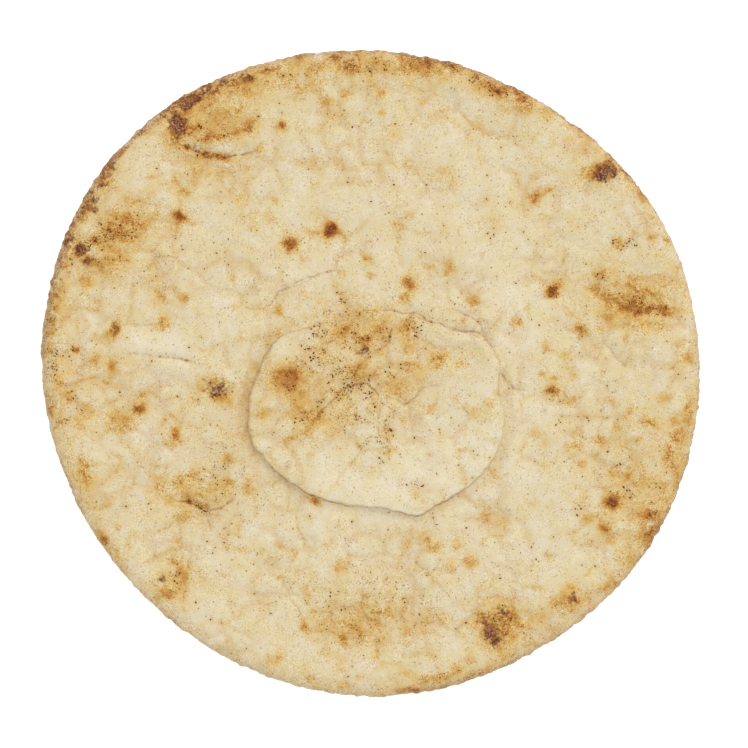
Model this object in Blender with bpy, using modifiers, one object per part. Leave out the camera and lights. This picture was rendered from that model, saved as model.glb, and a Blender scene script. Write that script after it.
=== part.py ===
"""Pita bread: one round, oven-blistered flatbread, 200 mm across, as one closed solid.

The bread lies on its flat underside at z = 0, with its middle on the z axis. A turned
half-section gives a disc with a rounded rim. Its rings are then stretched to the bread's
uneven outline and to the edge of the blister that rose in the middle and settled again.
Last, each point of the upper crust is raised or sunk by the blister, the folds and the
soft swells of the dough.
"""

import math
from collections import namedtuple

import bmesh
import bpy
from mathutils import Vector, noise

MM = 0.001

# Driving sizes, in millimetres
BREAD_RADIUS = 98.8         # mean radius of the outline
BODY_TOP = 6.8              # usual height of the upper crust
RIM_HEIGHT = 3.1            # height of the widest line round the rim
SHOULDER = 5.0              # the upper crust rounds down over this width at the rim
FOOT = 8.0                  # the underside leaves the table this far inside the rim
BLISTER_RADIUS = 35.5       # mean radius of the settled blister
BLISTER_CENTRE = (2.0, -13.0)
BLISTER_RISE = 1.3          # step up from the body onto the blister
BLISTER_WALL = 2.0          # width of that step where the edge is crisp
BLISTER_SLOPE = 14.0        # width of the rise where the edge runs out
LIP_CROWN = 0.6             # extra height of the rolled lip
LIP_WIDTH = 3.4             # half width of the lip, whose crest is as far inside the edge
BLISTER_SINK = 0.9          # how far the middle of the blister has settled below its lip
SINK_WIDTH = 26.0           # the crust sinks towards the middle over this width
GROOVE_DEPTH = 0.6          # depth of the groove round the blister
GROOVE_WIDTH = 1.5          # half width of the groove, whose bottom is as far outside the edge
RIM_ROLL = 0.45             # soft roll of the crust along the rim
RIM_ROLL_INSET = 7.0        # the roll's crest lies this far inside the rim
RIM_ROLL_WIDTH = 4.5        # half width of the roll
SWELL = 0.55                # height of the broad swells of the dough
SWELL_SIZE = 17.0           # width of one swell

# Divisions of the turned disc
SECTORS = 120
BLISTER_RINGS = (0.0, 0.13, 0.25, 0.37, 0.48, 0.58, 0.67, 0.75, 0.82, 0.88, 0.93, 0.97, 1.0)
BODY_RINGS = (0.02, 0.05, 0.1, 0.17, 0.24, 0.31, 0.38, 0.45, 0.52, 0.59, 0.66, 0.74, 0.83, 0.92)
UNDERSIDE_RINGS = (0.88, 0.76, 0.64)
SHOULDER_STEPS = 4
FOOT_STEPS = 4

# The outline is a circle with a few slow waves: (waves, height in mm, bearing of a crest)
OUTLINE_WAVES = (
    (1, 0.7, 89.0), (2, 1.9, -29.0), (3, 0.9, 20.0), (5, 0.2, -25.0), (6, 0.2, 23.0), (7, 0.15, 25.0),
)

# The blister's edge: (bearing from its centre in degrees, distance in mm)
BLISTER_EDGE = (
    (0, 38.5), (13, 37.8), (24, 40.2), (38, 39.8), (47, 35.4), (62, 32.4), (76, 32.0), (100, 31.6),
    (125, 32.6), (140, 37.4), (160, 38.2), (190, 38.6), (207, 34.9), (226, 31.6), (246, 28.9), (266, 27.8),
    (282, 29.3), (292, 32.6), (304, 32.5), (323, 35.0), (345, 38.0),
)
# How strongly the edge stands up: it is crisp all round, but soft where the upper side runs out
BLISTER_STRENGTH = (
    (0, 1.0), (25, 0.75), (50, 0.5), (75, 0.3), (105, 0.15), (125, 0.3), (145, 0.8), (170, 1.0),
    (210, 1.0), (250, 1.0), (290, 1.0), (330, 1.0),
)
# How far the shoulder leans in, so that the rim's side wall shows from above: (bearing, mm)
WALL_LEAN = (
    (0, 0.0), (60, 0.2), (105, 0.6), (130, 1.9), (160, 2.0), (185, 0.8), (215, 0.2), (290, 0.6), (330, 0.2),
)
# How far the rim lifts off the table: (bearing, mm)
RIM_LIFT = ((0, 0.5), (40, 1.2), (90, 0.5), (135, 0.2), (180, 0.9), (225, 1.4), (270, 0.6), (315, 0.1))
RIM_LIFT_START = 0.66       # the lift begins at this share of the outline's radius

FOLD_RUN_OUT = 0.2          # a fold fades over this share of its route at each end
BULGE_OFFSET = 2.2          # the bulge beside a fold crests this many half widths from it
BULGE_WIDTH = 1.4           # half width of the bulge, in half widths of its fold
# A fold: its route in mm, its depth and half width, and how much the crust on its left side bulges
Fold = namedtuple("Fold", "name route depth width bulge")
FOLDS = (
    Fold("arch in the blister", ((-17, -17), (-12, -9), (-6, -4), (-1, -3.5), (4, -9.5)), 0.7, 1.8, 0.3),
    Fold("crook in the blister", ((8, 16), (5.5, 9), (0, 5.5)), 0.5, 1.6, 0.2),
    Fold("wave in the blister", ((4, -7.5), (10.5, -10), (15.5, -5), (23, -3.2)), 0.5, 1.6, 0.2),
    Fold("tuck by the upper left rim", ((-58, 69.5), (-50, 66.5), (-44, 65), (-33, 67)), 1.0, 2.2, 0.9),
    Fold("crease below the tuck", ((-72, 52.5), (-60, 49.5)), 0.4, 2.2, 0.2),
    Fold("arc over the blister", ((-36, 16), (-27, 24.5), (-18, 29), (-5, 32)), 0.35, 2.4, 0.45),
    Fold("arc right of the blister", ((30, 20), (35, 17), (36, 11)), 0.3, 2.2, 0.3),
    Fold("wrinkle on the left", ((-54, 3.5), (-61, 4.6), (-68, 5.3)), 0.4, 2.2, 0.25),
    Fold("trough on the right", ((64, 29), (70, 23), (78, 20), (91, 19)), 0.8, 2.6, 0.3),
    Fold("nick under the trough", ((69.5, 11), (74, 4.5), (81, 1.3)), 0.6, 2.0, 0.3),
    Fold("fork at the lower left", ((-60, -38), (-50, -41.2), (-40, -37)), 0.7, 2.2, 0.3),
    Fold("tail of the fork", ((-50, -41), (-48, -47)), 0.4, 2.0, 0.1),
    Fold("hook at the bottom", ((-26, -60), (-24.5, -66.5), (-19, -66.5)), 0.4, 2.2, 0.2),
    Fold("wrinkle at the bottom", ((-4, -65), (-3, -70), (-1, -74), (6, -77)), 0.5, 2.2, 0.25),
)

CRUST_COLOUR = (0.71, 0.57, 0.34, 1.0)
CRUST_ROUGHNESS = 0.82


def smooth(low, high, value):
    """0 below low, 1 above high, and an even S-curve between."""
    t = min(max((value - low) / (high - low), 0.0), 1.0)
    return t * t * (3.0 - 2.0 * t)


def bump(offset, half_width):
    """1 at no offset, falling away as a bell on both sides."""
    return math.exp(-(offset / half_width) ** 2)


def around(marks, bearing):
    """The value at a bearing of a smooth closed curve through (bearing, value) marks."""
    count = len(marks)
    bearing %= 360.0
    after = next((i for i, mark in enumerate(marks) if mark[0] > bearing), count)
    turns = [divmod(after + step, count) for step in (-2, -1, 0, 1)]
    (a0, v0), (a1, v1), (a2, v2), (a3, v3) = [(marks[i][0] + 360.0 * turn, marks[i][1]) for turn, i in turns]
    t = (bearing - a1) / (a2 - a1)
    leave = (v2 - v0) / (a2 - a0) * (a2 - a1)
    arrive = (v3 - v1) / (a3 - a1) * (a2 - a1)
    bend = v1 - v2
    return v1 + t * (leave + t * (-3.0 * bend - 2.0 * leave - arrive + t * (2.0 * bend + leave + arrive)))


def outline_radius(bearing):
    """Distance from the bread's middle to its edge."""
    radius = BREAD_RADIUS
    for waves, height, crest in OUTLINE_WAVES:
        radius += height * math.cos(math.radians(waves * (bearing - crest)))
    return radius


def bearing_and_distance(x, y):
    return math.degrees(math.atan2(y, x)), math.hypot(x, y)


def from_route(route, x, y):
    """Distance to a route, the share of it walked to the nearest point, and the side: left is above 0."""
    here = Vector((x, y))
    points = [Vector(point) for point in route]
    lengths = [(b - a).length for a, b in zip(points, points[1:])]
    best, walked = None, 0.0
    for start, end, length in zip(points, points[1:], lengths):
        step = (end - start) / length
        along = min(max((here - start).dot(step), 0.0), length)
        away = here - (start + step * along)
        if best is None or away.length < best[0]:
            best = (away.length, (walked + along) / sum(lengths), step.cross(here - start))
        walked += length
    return best


def fold_relief(fold, x, y):
    """A valley along the fold, with a softer bulge on its left side; both run out at the ends."""
    distance, along, side = from_route(fold.route, x, y)
    fade = smooth(0.0, FOLD_RUN_OUT, along) * smooth(0.0, FOLD_RUN_OUT, 1.0 - along)
    valley = fold.depth * bump(distance, fold.width)
    from_crest = math.copysign(distance, side) - BULGE_OFFSET * fold.width
    return fade * (fold.bulge * bump(from_crest, BULGE_WIDTH * fold.width) - valley)


def blister_relief(x, y):
    """The settled blister: a steep edge, a rolled lip, a sunk middle, and a groove round it."""
    bearing, distance = bearing_and_distance(x - BLISTER_CENTRE[0], y - BLISTER_CENTRE[1])
    inset = around(BLISTER_EDGE, bearing) - distance
    strength = around(BLISTER_STRENGTH, bearing)
    crisp = BLISTER_RISE * smooth(-0.2 * BLISTER_WALL, 0.8 * BLISTER_WALL, inset)
    crisp += LIP_CROWN * bump(inset - LIP_WIDTH, LIP_WIDTH)
    crisp -= GROOVE_DEPTH * bump(inset + GROOVE_WIDTH, GROOVE_WIDTH)
    soft = BLISTER_RISE * smooth(0.0, BLISTER_SLOPE, inset)
    sink = BLISTER_SINK * smooth(LIP_WIDTH, SINK_WIDTH, BLISTER_RADIUS - distance)
    return strength * crisp + (1.0 - strength) * soft - sink


def swell_relief(x, y):
    """Broad swells of the dough, with smaller ones on them."""
    broad = noise.noise(Vector((x, y, 40.0)) / SWELL_SIZE)
    small = noise.noise(Vector((x, y, 90.0)) / (0.45 * SWELL_SIZE))
    return SWELL * (broad + 0.5 * small)


def crust_relief(x, y):
    """Height of the upper crust over BODY_TOP."""
    bearing, distance = bearing_and_distance(x, y)
    inset = outline_radius(bearing) - distance
    roll = RIM_ROLL * bump(inset - RIM_ROLL_INSET, RIM_ROLL_WIDTH)
    folds = sum(fold_relief(fold, x, y) for fold in FOLDS)
    return blister_relief(x, y) + folds + swell_relief(x, y) + roll


def half_section():
    """(radius, height) of the turned disc, from the top's middle out over the rim and back below."""
    body_edge = BREAD_RADIUS - FOOT
    section = [(BLISTER_RADIUS * share, BODY_TOP) for share in BLISTER_RINGS]
    section += [(BLISTER_RADIUS + (body_edge - BLISTER_RADIUS) * share, BODY_TOP) for share in BODY_RINGS]
    section += [(body_edge + (FOOT - SHOULDER) * share, BODY_TOP) for share in (0.0, 0.5)]
    for step in range(SHOULDER_STEPS + 1):
        turn = 0.5 * math.pi * step / SHOULDER_STEPS
        radius = BREAD_RADIUS - SHOULDER * (1.0 - math.sin(turn))
        section.append((radius, RIM_HEIGHT + (BODY_TOP - RIM_HEIGHT) * math.cos(turn)))
    for step in range(1, FOOT_STEPS + 1):
        turn = 0.5 * math.pi * step / FOOT_STEPS
        radius = BREAD_RADIUS - FOOT * (1.0 - math.cos(turn))
        section.append((radius, RIM_HEIGHT * (1.0 - math.sin(turn))))
    section += [(body_edge * share, 0.0) for share in UNDERSIDE_RINGS]
    section.append((0.0, 0.0))
    return section


def turned_disc(collection):
    """The half-section turned round the z axis, as a mesh that is closed at both poles."""
    mesh = bpy.data.meshes.new("pita_section")
    points = [(radius * MM, 0.0, height * MM) for radius, height in half_section()]
    mesh.from_pydata(points, [(i, i + 1) for i in range(len(points) - 1)], [])
    section = bpy.data.objects.new("pita_section", mesh)
    collection.objects.link(section)

    turn = section.modifiers.new("turn", 'SCREW')
    turn.steps = SECTORS
    turn.render_steps = SECTORS
    turn.use_merge_vertices = True
    turn.merge_threshold = 0.00001

    bpy.context.view_layer.update()
    evaluated = section.evaluated_get(bpy.context.evaluated_depsgraph_get())
    turned = bpy.data.meshes.new_from_object(evaluated)
    bpy.data.objects.remove(section)
    return turned


def place_on_bread(radius, bearing):
    """Where a ring of the disc comes to lie once it follows the blister's edge and the outline."""
    direction = Vector((math.cos(math.radians(bearing)), math.sin(math.radians(bearing))))
    centre = Vector(BLISTER_CENTRE)
    reach = around(BLISTER_EDGE, bearing)
    if radius <= BLISTER_RADIUS:
        return centre + direction * reach * radius / BLISTER_RADIUS
    body_edge = BREAD_RADIUS - FOOT
    rim = direction * outline_radius(bearing)
    if radius >= body_edge:
        return rim - direction * (BREAD_RADIUS - radius)
    share = (radius - BLISTER_RADIUS) / (body_edge - BLISTER_RADIUS)
    return (centre + direction * reach).lerp(rim - direction * FOOT, share)


def shape_point(point):
    """Moves one point of the turned disc to its place on the bread; sizes in millimetres."""
    bearing, radius = bearing_and_distance(point.x, point.y)
    height = point.z
    upper = smooth(RIM_HEIGHT, BODY_TOP, height)
    place = place_on_bread(radius, bearing)
    near_rim = smooth(BREAD_RADIUS - 3.0 * SHOULDER, BREAD_RADIUS - SHOULDER, radius)
    place -= place.normalized() * around(WALL_LEAN, bearing) * upper * near_rim

    outer_bearing, distance = bearing_and_distance(place.x, place.y)
    lift_share = smooth(RIM_LIFT_START, 1.0, distance / outline_radius(outer_bearing))
    height += around(RIM_LIFT, outer_bearing) * lift_share
    if upper > 0.0:
        height += upper * crust_relief(place.x, place.y)
    return Vector((place.x, place.y, height))


def centre_on_box(bm):
    """Slides the bread so that the middle of its box stands on the z axis."""
    for axis in (0, 1):
        low = min(vert.co[axis] for vert in bm.verts)
        high = max(vert.co[axis] for vert in bm.verts)
        for vert in bm.verts:
            vert.co[axis] -= 0.5 * (low + high)


def crust_material():
    material = bpy.data.materials.new("crust")
    material.use_nodes = True
    shader = material.node_tree.nodes["Principled BSDF"]
    shader.inputs["Base Color"].default_value = CRUST_COLOUR
    shader.inputs["Roughness"].default_value = CRUST_ROUGHNESS
    shader.inputs["Metallic"].default_value = 0.0
    return material


def make_pita(collection):
    mesh = turned_disc(collection)
    bm = bmesh.new()
    bm.from_mesh(mesh)
    bmesh.ops.remove_doubles(bm, verts=bm.verts, dist=0.00001)
    for vert in bm.verts:
        vert.co = shape_point(vert.co / MM) * MM
    centre_on_box(bm)
    bm.to_mesh(mesh)
    bm.free()
    mesh.name = "pita"
    mesh.shade_smooth()
    mesh.materials.append(crust_material())
    pita = bpy.data.objects.new("pita", mesh)
    collection.objects.link(pita)
    return pita


def main():
    for old in list(bpy.data.objects):
        bpy.data.objects.remove(old)
    collection = bpy.data.collections.new("pita_bread")
    bpy.context.scene.collection.children.link(collection)
    make_pita(collection)


main()
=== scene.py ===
"""Dresses a packed pita bread in its baked crust, with a pale floor, soft light and a camera.

The form of the bread repeats that of its solid: a turned disc whose rings follow the
settled blister and the outline, raised and sunk by folds and swells. The crust adds the
finer wrinkles, and its browning is laid down spot by spot and then broken up by the grain
of the dough. Places and sizes on the bread are in millimetres from its middle, with x to
the right, y away and z up.
"""

import math
from collections import namedtuple

import bmesh
import bpy
import numpy as np
from bpy.props import FloatProperty, FloatVectorProperty, IntProperty, PointerProperty
from mathutils import Matrix, Vector, noise
from mathutils.kdtree import KDTree


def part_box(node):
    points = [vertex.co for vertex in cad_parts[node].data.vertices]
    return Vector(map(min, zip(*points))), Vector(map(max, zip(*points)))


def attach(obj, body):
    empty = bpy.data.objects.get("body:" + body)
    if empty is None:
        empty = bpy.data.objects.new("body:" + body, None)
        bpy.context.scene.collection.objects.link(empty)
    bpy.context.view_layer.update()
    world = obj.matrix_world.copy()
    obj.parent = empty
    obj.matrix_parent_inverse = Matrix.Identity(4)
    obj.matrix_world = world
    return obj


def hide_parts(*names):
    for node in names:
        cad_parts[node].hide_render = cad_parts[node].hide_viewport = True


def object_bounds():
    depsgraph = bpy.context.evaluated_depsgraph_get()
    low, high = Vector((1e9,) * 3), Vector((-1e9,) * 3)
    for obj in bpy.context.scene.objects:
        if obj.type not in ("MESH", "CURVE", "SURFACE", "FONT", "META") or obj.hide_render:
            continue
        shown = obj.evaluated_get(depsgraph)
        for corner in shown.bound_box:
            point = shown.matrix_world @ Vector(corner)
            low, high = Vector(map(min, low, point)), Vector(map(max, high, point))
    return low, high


bl_info = {
    "name": "Pita bread",
    "version": (1, 0, 0),
    "blender": (4, 5, 0),
    "location": "View3D > Sidebar > Pita",
    "description": "Dresses a packed pita bread in its baked crust",
    "category": "Object",
}

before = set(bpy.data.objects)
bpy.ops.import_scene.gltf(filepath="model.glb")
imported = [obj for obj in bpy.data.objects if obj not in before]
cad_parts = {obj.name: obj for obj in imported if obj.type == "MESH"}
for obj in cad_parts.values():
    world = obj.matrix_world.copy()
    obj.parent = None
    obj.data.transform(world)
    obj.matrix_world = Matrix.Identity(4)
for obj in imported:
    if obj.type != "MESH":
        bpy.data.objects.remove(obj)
SOLID = "pita"
CAD_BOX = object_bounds()
MM = 0.001
NEARLY_NOTHING = 0.001  # keeps a distance that something is divided by off 0


# ---------------------------------------------------------------- form of the bread, in millimetres

# The solid's own measures: its turned section, its blister, and the slow swells of its crust. Only the
# blister's wall is crisper here and its groove shallower, as finer wrinkles are laid over both
BREAD_RADIUS = 98.8
BODY_TOP = 6.8
RIM_HEIGHT = 3.1
SHOULDER = 5.0
FOOT = 8.0
BLISTER_RADIUS = 35.5
BLISTER_CENTRE = (2.0, -13.0)
BLISTER_RISE = 1.3
BLISTER_WALL = 1.1
WALL_OUTSIDE = 0.2  # this share of the blister's wall stands outside its edge
BLISTER_SLOPE = 14.0
LIP_CROWN = 0.6
LIP_WIDTH = 3.4
BLISTER_SINK = 0.9
SINK_WIDTH = 26.0
GROOVE_DEPTH = 0.5
GROOVE_WIDTH = 1.5
RIM_ROLL = 0.45
RIM_ROLL_INSET = 7.0
RIM_ROLL_WIDTH = 4.5
SWELL = 0.55
SWELL_SIZE = 17.0
SMALL_SWELL = 0.45  # a second swell is this share as wide, and half as high
SWELL_LAYERS = (40.0, 90.0)
RIM_LIFT_START = 0.66  # the rim lifts from this share of the outline on

# The outline is a circle with a few slow waves: (waves, height, bearing of a crest)
OUTLINE_WAVES = (
    (1, 0.7, 89.0), (2, 1.9, -29.0), (3, 0.9, 20.0), (5, 0.2, -25.0), (6, 0.2, 23.0), (7, 0.15, 25.0),
)
# The marks below are (bearing in degrees, value) round a closed curve
BLISTER_EDGE = (
    (0, 38.5), (13, 37.8), (24, 40.2), (38, 39.8), (47, 35.4), (62, 32.4), (76, 32.0), (100, 31.6),
    (125, 32.6), (140, 37.4), (160, 38.2), (190, 38.6), (207, 34.9), (226, 31.6), (246, 28.9), (266, 27.8),
    (282, 29.3), (292, 32.6), (304, 32.5), (323, 35.0), (345, 38.0),
)
BLISTER_STRENGTH = (
    (0, 1.0), (25, 0.75), (50, 0.5), (75, 0.3), (105, 0.15), (125, 0.3), (145, 0.8), (170, 1.0), (210, 1.0),
    (250, 1.0), (290, 1.0), (330, 1.0),
)
WALL_LEAN = (
    (0, 0.0), (60, 0.2), (105, 0.6), (130, 1.9), (160, 2.0), (185, 0.8), (215, 0.2), (290, 0.6), (330, 0.2),
)
RIM_LIFT = (
    (0, 0.5), (40, 1.2), (90, 0.5), (135, 0.2), (180, 0.9), (225, 1.4), (270, 0.6), (315, 0.1),
)

FOLD_RUN_OUT = 0.2
BULGE_OFFSET = 2.2
BULGE_WIDTH = 1.4
FOLD_REACH = 4.0  # a crease lifts and sinks the crust out to this many of its half widths
# A fold: its route, depth, half width and bulge, and how dark the line at its bottom is, a painted shade that
# is partly the fold's own brown
Fold = namedtuple("Fold", "route depth width bulge line")
FOLDS = (
    Fold(
        ((-17, -17), (-15, -12), (-12, -9), (-9.5, -6), (-6, -4), (-1, -3.5), (2, -5.5), (4, -9.5)),
        0.7, 1.8, 0.3, 0.75,
    ),
    Fold(((8, 16), (6, 12), (5.5, 9), (3.5, 7), (0, 5.5)), 0.5, 1.6, 0.2, 0.7),
    Fold(
        ((4, -7.5), (8, -8), (10.5, -10), (13, -8), (15.5, -5), (20, -3.8), (23, -3.2)),
        0.5, 1.6, 0.2, 0.5,
    ),
    Fold(((-58, 69.5), (-54, 67.5), (-50, 66.5), (-44, 65), (-38, 66), (-33, 67)), 0.7, 1.5, 0.6, 0.9),
    Fold(((-72, 52.5), (-66, 50.5), (-60, 49.5)), 0.4, 2.2, 0.2, 0.25),
    Fold(((-36, 16), (-30, 20.5), (-27, 24.5), (-18, 29), (-5, 32)), 0.35, 2.4, 0.45, 0.5),
    Fold(((30, 20), (35, 17), (36, 11)), 0.3, 2.2, 0.3, 0.25),
    Fold(((-53, 3.4), (-57, 4.0), (-61, 4.6), (-66, 5.2)), 0.6, 1.4, 0.4, 0.95),
    Fold(((64, 29), (70, 23), (78, 20), (91, 19)), 0.8, 2.6, 0.3, 0.3),
    Fold(((69.5, 11), (71, 8.5), (74, 4.5), (77, 2.3), (81, 1.3)), 0.6, 2.0, 0.3, 0.35),
    Fold(((-60, -38), (-55, -39), (-50, -41.2), (-45, -41), (-40, -37)), 1.0, 1.9, 0.5, 0.8),
    Fold(((-50, -41), (-49, -44), (-48, -48)), 0.6, 1.6, 0.2, 0.5),
    Fold(((-26, -60), (-26, -64), (-24.5, -66.5), (-19, -66.5)), 0.4, 2.2, 0.2, 0.3),
    Fold(((-4, -65), (-2, -68), (-3, -70), (-1, -74), (3, -75), (6, -77)), 0.5, 2.2, 0.25, 0.4),
)


def smooth(low, high, value):
    """0 below low, 1 above high, and an even S-curve between."""
    share = np.clip((value - low) / (high - low), 0.0, 1.0)
    return share * share * (3.0 - 2.0 * share)


def bump(offset, half_width):
    """1 at no offset, falling away as a bell on both sides."""
    return np.exp(-((offset / half_width) ** 2))


def around(marks, bearing):
    """The values at bearings of a smooth closed curve through (bearing, value) marks."""
    angles = np.array([mark[0] for mark in marks], float)
    values = np.array([mark[1] for mark in marks], float)
    bearing = np.mod(bearing, 360.0)
    after = np.searchsorted(angles, bearing, side="right")

    def mark(step):
        turn, index = np.divmod(after + step, len(marks))
        return angles[index] + 360.0 * turn, values[index]

    (a0, v0), (a1, v1), (a2, v2), (a3, v3) = (mark(step) for step in (-2, -1, 0, 1))
    t = (bearing - a1) / (a2 - a1)
    leave = (v2 - v0) / (a2 - a0) * (a2 - a1)
    arrive = (v3 - v1) / (a3 - a1) * (a2 - a1)
    bend = v1 - v2
    return v1 + t * (leave + t * (-3.0 * bend - 2.0 * leave - arrive + t * (2.0 * bend + leave + arrive)))


def bearing_and_distance(x, y):
    """Bearing in degrees, counted from x towards y, and distance from the middle."""
    return np.degrees(np.arctan2(y, x)), np.hypot(x, y)


def dough_noise(x, y, size, layer):
    """Smooth noise from about -1 to 1 whose lumps are size across; each layer is another pattern."""
    return np.array([noise.noise((a, b, layer)) for a, b in zip(x / size, y / size)])


def layered_noise(x, y, waves, shift=0.0):
    """Noise in several sizes, given as (size, height, layer); a shift of the layers makes another pattern."""
    return sum(height * dough_noise(x, y, size, layer + shift) for size, height, layer in waves)


def slid(x, y, waves):
    """The point slid sideways and away by noise in several sizes."""
    return x + layered_noise(x, y, waves), y + layered_noise(x, y, waves, 1.0)


def run_out(along):
    """1 along a fold or crease, falling to 0 at both of its ends."""
    return smooth(0.0, FOLD_RUN_OUT, along) * smooth(0.0, FOLD_RUN_OUT, 1.0 - along)


def outline_radius(bearing):
    """Distance from the middle to the solid's outline at a bearing."""
    radius = np.full(np.shape(bearing), BREAD_RADIUS)
    for waves, height, crest in OUTLINE_WAVES:
        radius = radius + height * np.cos(np.radians(waves * (bearing - crest)))
    return radius


def from_route(route, x, y):
    """Distance to a route, the share of it walked to the nearest point, and the side: left is above 0."""
    best = np.full(x.shape, np.inf)
    along, side = np.zeros(x.shape), np.zeros(x.shape)
    lengths = [math.dist(a, b) for a, b in zip(route, route[1:])]
    walked = 0.0
    for (ax, ay), (bx, by), length in zip(route, route[1:], lengths):
        dx, dy = (bx - ax) / length, (by - ay) / length
        reach = np.clip((x - ax) * dx + (y - ay) * dy, 0.0, length)
        distance = np.hypot(x - ax - reach * dx, y - ay - reach * dy)
        nearer = distance < best
        best = np.where(nearer, distance, best)
        along = np.where(nearer, (walked + reach) / sum(lengths), along)
        side = np.where(nearer, dx * (y - ay) - dy * (x - ax), side)
        walked += length
    return best, along, side


def fold_relief(fold, x, y):
    """A valley along the fold, with a softer bulge on its left side; both run out at the ends."""
    distance, along, side = from_route(fold.route, x, y)
    valley = fold.depth * bump(distance, fold.width)
    from_crest = np.copysign(distance, side) - BULGE_OFFSET * fold.width
    return run_out(along) * (fold.bulge * bump(from_crest, BULGE_WIDTH * fold.width) - valley)


def blister_place(x, y):
    """How far inside the blister's edge a place is, its bearing, and its distance from the centre."""
    bearing, distance = bearing_and_distance(x - BLISTER_CENTRE[0], y - BLISTER_CENTRE[1])
    return around(BLISTER_EDGE, bearing) - distance, bearing, distance


def blister_relief(x, y):
    """The settled blister: a steep edge, a rolled lip, a sunk middle, and a groove round it."""
    inset, bearing, distance = blister_place(x, y)
    strength = around(BLISTER_STRENGTH, bearing)
    crisp = BLISTER_RISE * smooth(-WALL_OUTSIDE * BLISTER_WALL, (1.0 - WALL_OUTSIDE) * BLISTER_WALL, inset)
    crisp = crisp + LIP_CROWN * bump(inset - LIP_WIDTH, LIP_WIDTH)
    crisp = crisp - GROOVE_DEPTH * bump(inset + GROOVE_WIDTH, GROOVE_WIDTH)
    soft = BLISTER_RISE * smooth(0.0, BLISTER_SLOPE, inset)
    sink = BLISTER_SINK * smooth(LIP_WIDTH, SINK_WIDTH, BLISTER_RADIUS - distance)
    return strength * crisp + (1.0 - strength) * soft - sink


def form_relief(x, y):
    """Height of the upper crust over BODY_TOP, as the solid has it."""
    bearing, distance = bearing_and_distance(x, y)
    inset = outline_radius(bearing) - distance
    relief = blister_relief(x, y) + RIM_ROLL * bump(inset - RIM_ROLL_INSET, RIM_ROLL_WIDTH)
    for fold in FOLDS:
        relief = relief + fold_relief(fold, x, y)
    small_size = SMALL_SWELL * SWELL_SIZE
    broad = dough_noise(x, y, SWELL_SIZE, SWELL_LAYERS[0] / SWELL_SIZE)
    small = dough_noise(x, y, small_size, SWELL_LAYERS[1] / small_size)
    return relief + SWELL * (broad + 0.5 * small)


# ---------------------------------------------------------------- browning, spot by spot

# A spot: its place, length, width and turn in degrees, and how far it is baked at its middle (0 to 1); a few
# stand for painted shade
BLISTER_SPOTS = (
    (-25, -1.5, 11.5, 9, 10, 0.58), (-25, -0.5, 5, 3.4, 30, 0.34), (-21.5, -8.5, 9, 8, 60, 0.42),
    (-18, -13.5, 8, 8, 0, 0.32), (-19.5, -17.5, 8, 4, 20, 0.26), (-32.5, -12, 4.5, 4, 0, 0.28),
    (-23.8, -19.5, 2.4, 1.8, 20, 0.55), (-8.4, 13.5, 7, 6.5, 0, 0.42), (-1, 10.2, 6.5, 3.4, 20, 0.46),
    (-2.4, 7.8, 3.2, 2.4, 30, 0.35), (-4, 1.5, 8, 5.5, 20, 0.41), (3, 17.2, 9, 4.5, -10, 0.25),
    (3, 13.2, 6.5, 6, 0, 0.28), (10.8, 13.5, 6, 5.5, 0, 0.44), (11.5, 8, 5, 6, 0, 0.34),
    (12.4, 2.2, 7, 4.5, 10, 0.34), (20.2, 4.3, 7.5, 6.5, 30, 0.26), (8, -3.3, 11, 6, 10, 0.34),
    (15, -1.5, 6, 5, 0, 0.22), (0, -0.5, 7, 4, 30, 0.26), (-14, 9, 7, 6, 0, 0.22),
    (-9.5, -6.5, 7, 3, 45, 0.28), (5.6, -18.2, 3.4, 8, 5, 0.17), (5.8, -23.2, 3, 2.5, 0, 0.3),
    (31.9, -12.5, 6, 4, 0, 0.24), (27.5, -9.5, 4, 3, 0, 0.16), (18.6, -10.8, 5, 4, 0, 0.24),
    (20, -18, 7, 5, 0, 0.12), (-10, -19, 12, 8, 0, 0.14), (-7, -13, 10, 8, 0, 0.14),
    (-2, -28, 9, 7, 0, 0.1), (12, -2, 16, 12, 0, 0.15),
)
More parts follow.
